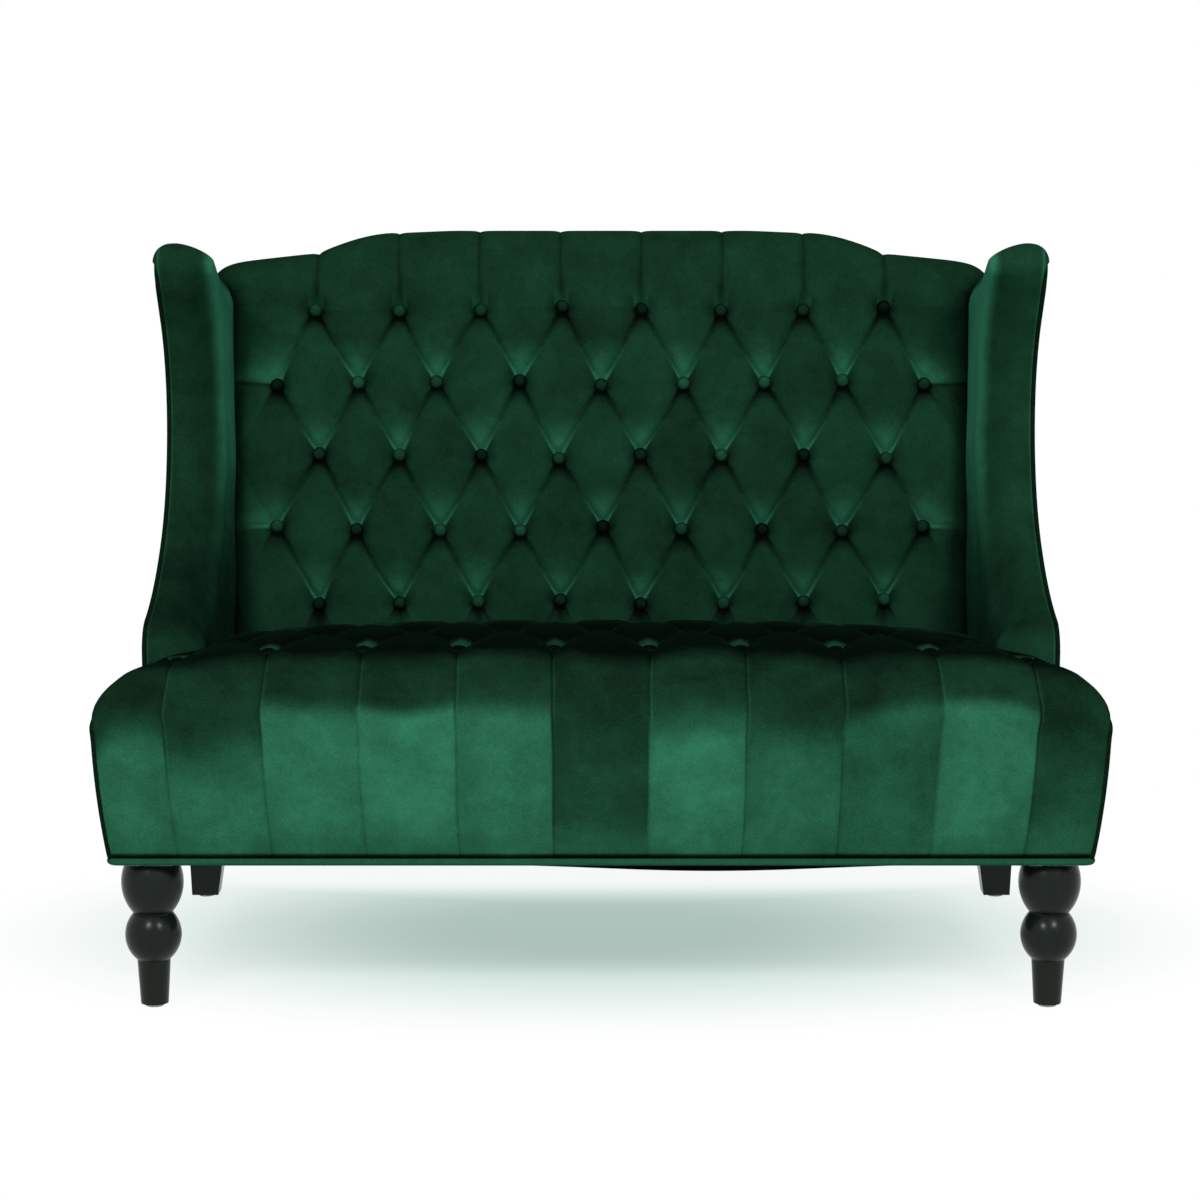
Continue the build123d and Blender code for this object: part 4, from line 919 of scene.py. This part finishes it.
# %% Wing pad face
# The inside face runs from the rim to a line deep in the corner with the back and the seat. The
# outer and rear edges turn under, over the frame.
DEEP_AT = [0.0, 0.13, 0.34, 0.41, 0.47, 0.53, 0.60, 0.66, 0.72, 0.85, 1.0]
DEEP_Y = [-0.060, 0.03, 0.229, 0.250, 0.259, 0.267, 0.272, 0.275, 0.278, 0.290, 0.345]
DEEP_Z = [0.305, 0.31, 0.340, 0.560, 0.660, 0.740, 0.795, 0.825, 0.838, 0.845, 0.838]
TURN_UNDER = np.array([[0.055, 0.024, 0.005]])
UNDER_X = np.array([[0.5866, 0.5866, 0.5878]])
REAR_EDGE_X = 0.586
REAR_EDGE_BACK = 0.003
along = np.linspace(0, 1, len(outline))
deep_y = np.interp(along, DEEP_AT, DEEP_Y)
deep_z = np.interp(along, DEEP_AT, DEEP_Z)
inner = np.linspace(0, 1, 30)[1:]
face_y = rim_y[:, -1:] + (deep_y[:, None] - rim_y[:, -1:]) * inner[None, :]
face_z = rim_z[:, -1:] + (deep_z[:, None] - rim_z[:, -1:]) * inner[None, :]
plump = 0.005 * np.sin(np.pi * inner) ** 2 * smooth_step(0.64, 0.50, along)[:, None]
face_x = EDGE_INNER - plump
under_y = rim_y[:, :1] - eased[:, :1] * TURN_UNDER
under_z = rim_z[:, :1] - eased[:, 1:] * TURN_UNDER
under_x = UNDER_X + 0 * under_y
wing_y = np.concatenate([under_y, rim_y, face_y], 1)
wing_z = np.concatenate([under_z, rim_z, face_z], 1)
wing_x = np.concatenate([under_x, edge_x, face_x], 1)
wing_y = np.concatenate([wing_y, wing_y[-1:] + REAR_EDGE_BACK + 0 * REAR_EDGE_DROPS])
wing_z = np.concatenate([wing_z, wing_z[-1:] - REAR_EDGE_DROPS])
wing_x = np.concatenate([wing_x, np.minimum(wing_x[-1:], REAR_EDGE_X) + 0 * REAR_EDGE_DROPS])
ripple = 0.0012 * np.sin(38 * wing_z + 9 * wing_y) * np.sin(21 * wing_y + 4)
wing_x = wing_x - ripple * smooth_step(0.575, 0.54, wing_x)
rows, columns = wing_y.shape
print("wing grid:", rows, "rows of", columns, "places")

# %% Wing pad nap and mesh
# The inside face is painted light high up and painted dark low down, light and shade, and darker
# still deep in the low corner, as painted shade. It is a little lighter low at the front of the
# arm, and lighter along the top, a painted highlight. A thin painted highlight runs beside the
# welt, and the right wing is a little lighter than the left.
SEAM_LIGHT_X = 0.5893
depth_in = np.concatenate([np.zeros(TURN_UNDER.size + outside.size), inner])[None, :]
high_up = smooth_step(0.42, 0.74, wing_z)
turned_in = np.concatenate([0 * under_y, inside_part + 0 * rim_y, np.ones_like(face_y)], 1)
turned_in = np.concatenate([turned_in, turned_in[-1:] + 0 * REAR_EDGE_DROPS])
nap = 0.34 + 0.62 * smooth_step(0.62, 1.0, turned_in) * (1 - 0.2 * depth_in) * high_up
nap = nap + 0.06 * smooth_step(0.88, 0.95, wing_z) - 0.10 * smooth_step(0.62, 0.47, wing_z)
nap = nap + 0.16 * smooth_step(0.47, 0.43, wing_z) * (wing_y < -0.10)
nap = nap - 0.22 * smooth_step(0.80, 1.0, depth_in) * (1 - high_up)
nap = nap + 0.30 * np.exp(-((wing_x - SEAM_LIGHT_X) / 0.002) ** 2)
cells = all_cells(rows, columns)
base_faces = grid_faces(rows, columns, cells, cells)
for side, sign in (("right", 1), ("left", -1)):
    points = np.stack([sign * wing_x, wing_y, wing_z], -1).reshape(-1, 3)
    faces = base_faces if sign > 0 else base_faces[:, ::-1]
    wing = make_piece("wing_pad_cover_" + side, points, faces, nap + 0.05 * (1 + sign), tufted_velvet)
    dress(wing, "green_velvet", "wing_pad_" + side)
print("wing pads:", len(base_faces), "triangles each")

# %% [markdown]
# ## Covered buttons
# Each button is a round of velvet gathered over a shallow metal mould and pulled into the padding
# by twine. Its face is nearly flat, its rim is round, and the gathers show as fine ripples at the
# edge. One button is turned like a bowl on a lathe. A Geometry Nodes tree then puts it on every
# place, turns it to face out of the cloth, tips each a little with a fixed seed, and makes the
# copies real.


# %% Geometry Nodes helpers
def realise(piece):
    """Turn an object with a live node tree into a plain mesh."""
    graph = bpy.context.evaluated_depsgraph_get()
    mesh = bpy.data.meshes.new_from_object(piece.evaluated_get(graph))
    piece.modifiers.clear()
    old = piece.data
    piece.data = mesh
    bpy.data.meshes.remove(old)
    mesh.name = piece.name
    return piece


def new_geometry_tree(name, inputs):
    """A geometry tree with a geometry input and output and named size inputs."""
    tree = bpy.data.node_groups.new(name, "GeometryNodeTree")
    tree.interface.new_socket("Geometry", in_out="INPUT", socket_type="NodeSocketGeometry")
    tree.interface.new_socket("Geometry", in_out="OUTPUT", socket_type="NodeSocketGeometry")
    for label, kind in inputs:
        tree.interface.new_socket(label, in_out="INPUT", socket_type=kind)
    entry = add_node(tree, "NodeGroupInput")
    leave = add_node(tree, "NodeGroupOutput")
    return tree, entry, leave


def attach(piece, tree, values):
    """Put the tree on an object and set its inputs by their identifiers."""
    modifier = piece.modifiers.new(tree.name, "NODES")
    modifier.node_group = tree
    for item in tree.interface.items_tree:
        if item.in_out == "INPUT" and item.name in values:
            modifier[item.identifier] = values[item.name]
    return modifier


print("geometry tree helpers ready")

# %% One button
BUTTON_R = 0.0097
BUTTON_RISE = 0.0072
BUTTON_RISE_SHARE = [1.00, 0.97, 0.90, 0.77, 0.58, 0.34, 0.08, -0.25, -0.60]
BUTTON_RADIUS_SHARE = [0.02, 0.30, 0.55, 0.76, 0.90, 0.98, 1.00, 0.97, 0.90]
# Each ring of the button has its own painted tone: a dark ring of painted shade just inside the rim and a
# painted highlight on the rim itself.
BUTTON_RING_LIGHT = [0.36, 0.36, 0.34, 0.24, 0.08, 0.22, 0.50, 0.46, 0.20]
GATHERS = 22
BUTTON_STEPS = 89
turn = np.linspace(0, 2 * np.pi, BUTTON_STEPS)[None, :]
share = np.array(BUTTON_RADIUS_SHARE)[:, None]
rim = smooth_step(0.70, 1.0, share)
ring = BUTTON_R * share * (1 + 0.012 * rim * np.cos(GATHERS * turn))
rise = BUTTON_RISE * np.array(BUTTON_RISE_SHARE)[:, None] + 0 * turn
lathe = np.stack([ring * np.cos(turn), ring * np.sin(turn), rise], -1)
cells = all_cells(len(BUTTON_RADIUS_SHARE), BUTTON_STEPS)
lathe_faces = grid_faces(len(BUTTON_RADIUS_SHARE), BUTTON_STEPS, cells, cells)[:, ::-1]
# One side of each button is painted lighter and the other darker, painted light and shade.
button_painted_light = np.array(BUTTON_RING_LIGHT)[:, None] + 0.12 * np.sin(turn) * share
button = make_piece("one_button", lathe.reshape(-1, 3), lathe_faces, button_painted_light, tufted_velvet)
print("button:", len(lathe_faces), "triangles")

# %% Button tree
button_tree, entry, leave = new_geometry_tree("covered_buttons", [
    ("Button", "NodeSocketObject"), ("Finish", "NodeSocketMaterial")])
shape = add_node(button_tree, "GeometryNodeObjectInfo", None, None, {"Object": entry.outputs["Button"]})
facing = add_node(button_tree, "GeometryNodeInputNamedAttribute", {"data_type": "FLOAT_VECTOR"},
                  {"Name": "facing"})
wobble = add_node(button_tree, "FunctionNodeRandomValue", {"data_type": "FLOAT_VECTOR"},
                  {"Min": (-0.20, -0.20, -0.20), "Max": (0.20, 0.20, 0.20), "Seed": 7})
tipped = add_node(button_tree, "ShaderNodeVectorMath", {"operation": "ADD"}, None,
                  {0: facing.outputs["Attribute"], 1: wobble.outputs["Value"]})
aim = add_node(button_tree, "FunctionNodeAlignRotationToVector", {"axis": "Z"}, None,
               {"Vector": tipped.outputs["Vector"]})
copies = add_node(button_tree, "GeometryNodeInstanceOnPoints", None, None,
                  {"Points": entry.outputs["Geometry"], "Instance": shape.outputs["Geometry"],
                   "Rotation": aim.outputs["Rotation"]})
real = add_node(button_tree, "GeometryNodeRealizeInstances", None, None, {"Geometry": copies.outputs[0]})
finish = add_node(button_tree, "GeometryNodeSetMaterial", None, None,
                  {"Geometry": real.outputs[0], "Material": entry.outputs["Finish"]})
button_tree.links.new(finish.outputs[0], leave.inputs[0])


def button_set(name, places, directions, node, tones):
    """One mesh of covered buttons at the given places, each with its own tone in the given range."""
    piece = place_mesh(name, places, [], [])
    layer = piece.data.attributes.new("facing", "FLOAT_VECTOR", "POINT")
    layer.data.foreach_set("vector", np.asarray(directions, dtype=float).ravel())
    attach(piece, button_tree, {"Button": button, "Finish": tufted_velvet})
    realise(piece)
    layer = piece.data.attributes["nap"]
    values = np.zeros(len(layer.data))
    layer.data.foreach_get("value", values)
    lots = np.random.default_rng(5).uniform(tones[0], tones[1], len(places))[:, None]
    layer.data.foreach_set("value", (values.reshape(len(places), -1) + lots).ravel())
    dress(piece, "green_velvet_button", node)
    print(name, len(piece.data.polygons), "triangles")
    return piece


print("button tree:", len(button_tree.nodes), "nodes")

# %% Back and seat buttons
BACK_BUTTON_OUT = 0.0050
SEAT_BUTTON_UP = 0.0020
spots = np.array(back_places)
shift_x, shift_z = hand_shift(spots[:, 0], spots[:, 1])
button_depth = np.full(len(spots), BACK_FACE - BACK_BUTTON_OUT)
back_spots = back_to_world(spots[:, 0] + shift_x, button_depth, spots[:, 1] + shift_z)
back_out = np.tile([0.0, -math.cos(LEAN), math.sin(LEAN)], (len(spots), 1))
button_set("back_covered_buttons", back_spots, back_out, "back_buttons", (-0.26, 0.26))
spots = np.array(seat_places)
shift_x = seat_shift(spots[:, 0], spots[:, 1])
seat_height = seat_plane(spots[:, 1]) - ear_fall(spots[:, 0]) + seat_crown(spots[:, 0], spots[:, 1])
seat_spots = np.stack([spots[:, 0] + shift_x * 0.9, spots[:, 1], seat_height + SEAT_BUTTON_UP], -1)
seat_out = np.tile([0.0, math.sin(SEAT_FALL), math.cos(SEAT_FALL)], (len(spots), 1))
# The seat buttons are painted darker, in painted shade like the top of the seat.
button_set("seat_covered_buttons", seat_spots, seat_out, "seat_buttons", (-0.30, -0.22))
bpy.data.objects.remove(button)

# %% [markdown]
# ## Welts of the seat front and the wings
# A welt is a cord in a bias strip of velvet, sewn into a seam. One runs along the bottom edge of
# the seat front and turns the corners, and one runs up each side edge of the front. A Geometry
# Nodes tree sweeps a round section along each path. A third welt follows the outer edge of each
# wing, from the bottom of the arm to the back. The welts of the other bottom edges are straight
# from the frame.

# %% Welt tree
WELT_SPACING = 0.004
welt_tree, entry, leave = new_geometry_tree("welt", [
    ("Radius", "NodeSocketFloat"), ("Spacing", "NodeSocketFloat"), ("Finish", "NodeSocketMaterial")])
path_curve = add_node(welt_tree, "GeometryNodeMeshToCurve", None, None, {"Mesh": entry.outputs["Geometry"]})
spaced = add_node(welt_tree, "GeometryNodeResampleCurve", {"mode": "LENGTH"}, None,
                  {"Curve": path_curve.outputs[0], "Length": entry.outputs["Spacing"]})
section = add_node(welt_tree, "GeometryNodeCurvePrimitiveCircle", {"mode": "RADIUS"}, {"Resolution": 16},
                   {"Radius": entry.outputs["Radius"]})
swept = add_node(welt_tree, "GeometryNodeCurveToMesh", None, {"Fill Caps": True},
                 {"Curve": spaced.outputs[0], "Profile Curve": section.outputs[0]})
rounded = add_node(welt_tree, "GeometryNodeSetShadeSmooth", None, None, {"Geometry": swept.outputs[0]})
real = add_node(welt_tree, "GeometryNodeRealizeInstances", None, None, {"Geometry": rounded.outputs[0]})
finish = add_node(welt_tree, "GeometryNodeSetMaterial", None, None,
                  {"Geometry": real.outputs[0], "Material": entry.outputs["Finish"]})
welt_tree.links.new(finish.outputs[0], leave.inputs[0])


def welt(name, path, radius, cloth, *nodes):
    """A round welt along a path of places."""
    piece = place_mesh(name, path, [(i, i + 1) for i in range(len(path) - 1)], [])
    attach(piece, welt_tree, {"Radius": radius, "Spacing": WELT_SPACING, "Finish": cloth})
    realise(piece)
    dress(piece, "green_velvet_welt", *nodes)
    print(name, len(piece.data.polygons), "faces")
    return piece


print("welt tree:", len(welt_tree.nodes), "nodes")

# %% Seat front welts
BASE_WELT_R = 0.0045
EDGE_WELT_R = 0.0036
WELT_Z = 0.1955
WELT_Y = -0.3465
CORNER_X = 0.6120
CORNER_R = 0.012
bend = np.linspace(0, np.pi / 2, 8)
corner_out = CORNER_X - CORNER_R + CORNER_R * np.sin(bend)
corner = np.stack([corner_out, WELT_Y + CORNER_R - CORNER_R * np.cos(bend)], -1)
right_half = np.concatenate([[[0.0, WELT_Y]], corner, [[CORNER_X, WELT_Y + 0.030]]])
left_half = (right_half * [-1, 1])[:0:-1]
bottom = np.concatenate([left_half, right_half])
bottom = np.column_stack([bottom, np.full(len(bottom), WELT_Z)])
# The bottom welt takes the lit copy of the welt velvet, painted light. The side welts take the shaded copy,
# painted shade.
welt("seat_front_base_welt", bottom, BASE_WELT_R, lit_welt_velvet, "base_welt_front")
for side, column, sign in (("left", 0, -1), ("right", -1, 1)):
    rim_points = seat_edges[column] + [sign * 0.0008, 0.002, 0.0]
    rim_points[:, 0] -= sign * 0.006 * smooth_step(0.8, 1.0, np.linspace(0, 1, len(rim_points)))
    welt("seat_front_edge_welt_" + side, rim_points, EDGE_WELT_R, shade_velvet, "front_edge_welt_" + side)

# %% Wing welts
WING_WELT_R = 0.0034
WING_WELT_X = 0.5922
WING_WELT_FOOT = (ARM_FRONT + 0.004, 0.200)
set_in = 0.0040 + 0.0200 * on_top
along_wing = outline - eased * set_in
along_wing = np.concatenate([straight(WING_WELT_FOOT, along_wing[0], 26)[:-1], along_wing])
# The wing welts take the shaded copy of the welt velvet, painted shade.
for side, sign in (("left", -1), ("right", 1)):
    wing_path = np.column_stack([np.full(len(along_wing), sign * WING_WELT_X), along_wing])
    welt("wing_edge_welt_" + side, wing_path, WING_WELT_R, shade_velvet, "wing_welt_" + side)

# %% [markdown]
# ## The dust cover
# A thin black cloth is stapled under the frame to keep dust out. It is never quite tight: in the
# photo it shows as a dark sagging line under the front welt, right of the middle. It is a sheet
# that hangs a little lower there.

# %% Dust cover
LEG_NOTCH_X = 0.5235
FRONT_NOTCH_Y = -0.258
REAR_NOTCH_Y = 0.223
FRONT_SAG = 0.010
MIDDLE_SAG = 0.006
dust_low, dust_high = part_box("dust_cover")
cloth_x = np.linspace(dust_low[0], dust_high[0], 120)[None, :]
cloth_y = np.linspace(dust_low[1], dust_high[1], 60)[:, None]
belly = FRONT_SAG * np.exp(-((cloth_x - 0.14) / 0.20) ** 2) * np.exp(-((cloth_y + 0.30) / 0.10) ** 2)
middle = np.cos(cloth_x / 0.59 * np.pi / 2) * np.cos((cloth_y + 0.02) / 0.31 * np.pi / 2)
belly = belly + MIDDLE_SAG * middle
cloth_z = FRAME_LOW - 0.0012 - np.maximum(belly, 0)
points = np.stack([cloth_x + 0 * cloth_z, cloth_y + 0 * cloth_z, cloth_z], -1)
rows, columns = cloth_z.shape
mid_x = np.abs((cloth_x[0, :-1] + cloth_x[0, 1:]) / 2)[None, :]
mid_y = ((cloth_y[:-1, 0] + cloth_y[1:, 0]) / 2)[:, None]
at_leg = (mid_x > LEG_NOTCH_X) & ((mid_y < FRONT_NOTCH_Y) | (mid_y > REAR_NOTCH_Y))
faces = grid_faces(rows, columns, all_cells(rows, columns), ~at_leg)[:, ::-1]
dust = make_piece("dust_cover_cloth", points.reshape(-1, 3), faces, np.zeros(rows * columns),
                  finishes["black_cambric"])
dress(dust, "black_cambric", "dust_cover")

# %% [markdown]
# ## Floor, light and camera
# The photo is taken from straight ahead, a little above the crest, with a long lens, on a white
# floor under soft light. The floor here is white too. Under the loveseat it keeps a soft shadow,
# partly real and partly painted: an oval lets the real shadow show, darkens the floor a little
# itself and tints it faintly green. The shadow ends at the rear legs and fades slowly to white in
# front. A pale sky and two square lamps beside the camera light the front, and the lamps give small
# highlights on the lower bulbs of the legs.

# %% Floor
def backdrop_rays(tree):
    """One for each ray that shows the backdrop: straight on, by reflection or through glass."""
    rays = add_node(tree, "ShaderNodeLightPath")
    pair = add_node(tree, "ShaderNodeMath", {"operation": "ADD"}, None,
                    {0: rays.outputs["Is Camera Ray"], 1: rays.outputs["Is Glossy Ray"]})
    every = add_node(tree, "ShaderNodeMath", {"operation": "ADD", "use_clamp": True}, None,
                     {0: pair.outputs[0], 1: rays.outputs["Is Transmission Ray"]})
    return every.outputs[0]


WHITE = (1.0, 1.0, 1.0, 1.0)
FLOOR_HALF = 20
# Inside an oval under the loveseat the white glow fades to half, so the real shadow on the paper shows, and
# the oval darkens the floor round it a little as painted shadow. The mint paper and the green tint of the
# glow there paint the shadow faintly green. Behind, the oval ends at the rear legs.
PAPER = "#dff3ec"
SHADOW_HALF = (0.90, 0.56, 1.0)
SHADOW_MIDDLE = (0.0, 0.10, 0.0)
SHADOW_TINT = "#e4fef6"
SHADOW_LIGHT = 0.50
SHADOW_CORE = 0.18
SHADOW_RIM = 1.05
REAR_SHADOW_Y = (0.22, 0.40)
REAR_LIGHT = 0.93
material, tree = new_material("white_sweep")
place = add_node(tree, "ShaderNodeTexCoord").outputs["Object"]
about = add_node(tree, "ShaderNodeVectorMath", {"operation": "SUBTRACT"}, {1: SHADOW_MIDDLE}, {0: place})
oval = add_node(tree, "ShaderNodeVectorMath", {"operation": "DIVIDE"}, {1: SHADOW_HALF},
                {0: about.outputs["Vector"]})
apart = add_node(tree, "ShaderNodeVectorMath", {"operation": "LENGTH"}, None, {0: oval.outputs["Vector"]})
fade = add_node(tree, "ShaderNodeMapRange", {"interpolation_type": "SMOOTHSTEP"},
                {"From Min": SHADOW_CORE, "From Max": SHADOW_RIM, "To Min": SHADOW_LIGHT, "To Max": 1.0},
                {"Value": apart.outputs["Value"]})
floor_axes = add_node(tree, "ShaderNodeSeparateXYZ", None, None, {"Vector": place})
behind = add_node(tree, "ShaderNodeMapRange", {"interpolation_type": "SMOOTHSTEP"},
                  {"From Min": REAR_SHADOW_Y[0], "From Max": REAR_SHADOW_Y[1],
                   "To Min": SHADOW_LIGHT, "To Max": REAR_LIGHT},
                  {"Value": floor_axes.outputs["Y"]})
lit = add_node(tree, "ShaderNodeMath", {"operation": "MAXIMUM"}, None,
               {0: fade.outputs["Result"], 1: behind.outputs["Result"]})
tint = add_node(tree, "ShaderNodeValToRGB", None, None, {"Fac": lit.outputs[0]})
tint.color_ramp.elements[0].position = SHADOW_LIGHT
tint.color_ramp.elements[0].color = linear(SHADOW_TINT)
tint.color_ramp.elements[1].color = WHITE
paper = add_node(tree, "ShaderNodeBsdfDiffuse", None, {"Color": linear(PAPER)})
glow = add_node(tree, "ShaderNodeEmission", None, {"Strength": 1.0}, {"Color": tint.outputs["Color"]})
share = add_node(tree, "ShaderNodeMath", {"operation": "MULTIPLY"}, None,
                 {0: lit.outputs[0], 1: backdrop_rays(tree)})
mix = add_node(tree, "ShaderNodeMixShader", None, None,
               {0: share.outputs[0], 1: paper.outputs[0], 2: glow.outputs[0]})
add_node(tree, "ShaderNodeOutputMaterial", None, None, {"Surface": mix.outputs[0]})
floor_corners = [(x * FLOOR_HALF, y * FLOOR_HALF, 0) for x, y in ((-1, -1), (1, -1), (1, 1), (-1, 1))]
floor_sweep = place_mesh("floor_sweep", floor_corners, [], [(0, 1, 2, 3)])
floor_sweep.data.materials.append(material)
print("floor ready")

# %% Light
HORIZON_LIGHT = 0.62
OVERHEAD_LIGHT = 0.22
LAMP_SIZE = 0.6
LAMP_AIM = (0, 0, 0.45)
world = bpy.data.worlds.new("soft_studio")
world.use_nodes = True
tree = world.node_tree
tree.nodes.clear()
way = add_node(tree, "ShaderNodeTexCoord").outputs["Generated"]
split_way = add_node(tree, "ShaderNodeSeparateXYZ", None, None, {"Vector": way})
level = add_node(tree, "ShaderNodeMapRange", None,
                 {"From Min": 0.0, "From Max": 0.8, "To Min": HORIZON_LIGHT, "To Max": OVERHEAD_LIGHT},
                 {"Value": split_way.outputs["Z"]})
around = add_node(tree, "ShaderNodeBackground", None, {"Color": WHITE},
                  {"Strength": level.outputs["Result"]})
white = add_node(tree, "ShaderNodeBackground", None, {"Color": WHITE, "Strength": 1.0})
mix = add_node(tree, "ShaderNodeMixShader", None, None,
               {0: backdrop_rays(tree), 1: around.outputs[0], 2: white.outputs[0]})
add_node(tree, "ShaderNodeOutputWorld", None, None, {"Surface": mix.outputs[0]})
bpy.context.scene.world = world


def soft_lamp(name, place, power):
    """A square soft lamp that points at the loveseat."""
    lamp = bpy.data.lights.new(name, "AREA")
    lamp.shape = "SQUARE"
    lamp.size = LAMP_SIZE
    lamp.energy = power
    holder = bpy.data.objects.new(name, lamp)
    holder.location = place
    way = np.subtract(LAMP_AIM, place)
    flat = math.hypot(way[0], way[1])
    holder.rotation_euler = (math.atan2(flat, -way[2]), 0, math.atan2(-way[0], way[1]))
    bpy.context.scene.collection.objects.link(holder)
    return holder


soft_lamp("front_lamp_left", (-1.3, -2.9, 2.3), 44)
soft_lamp("front_lamp_right", (1.5, -2.8, 2.4), 42)
bpy.context.scene.view_settings.view_transform = "Standard"

# %% Camera
CAMERA_PLACE = (-0.0013, -3.999, 1.020)
CAMERA_LENS = 89.97
CAMERA_DIP = 7.726
camera_data = bpy.data.cameras.new("photo_camera")
camera_data.lens = CAMERA_LENS
camera_data.sensor_width = 36.0
camera_data.sensor_fit = "HORIZONTAL"
camera_data.clip_end = 60
camera = bpy.data.objects.new("photo_camera", camera_data)
camera.location = CAMERA_PLACE
camera.rotation_euler = (math.radians(90 - CAMERA_DIP), 0, 0)
bpy.context.scene.collection.objects.link(camera)
bpy.context.scene.camera = camera
print("camera at", tuple(camera.location))
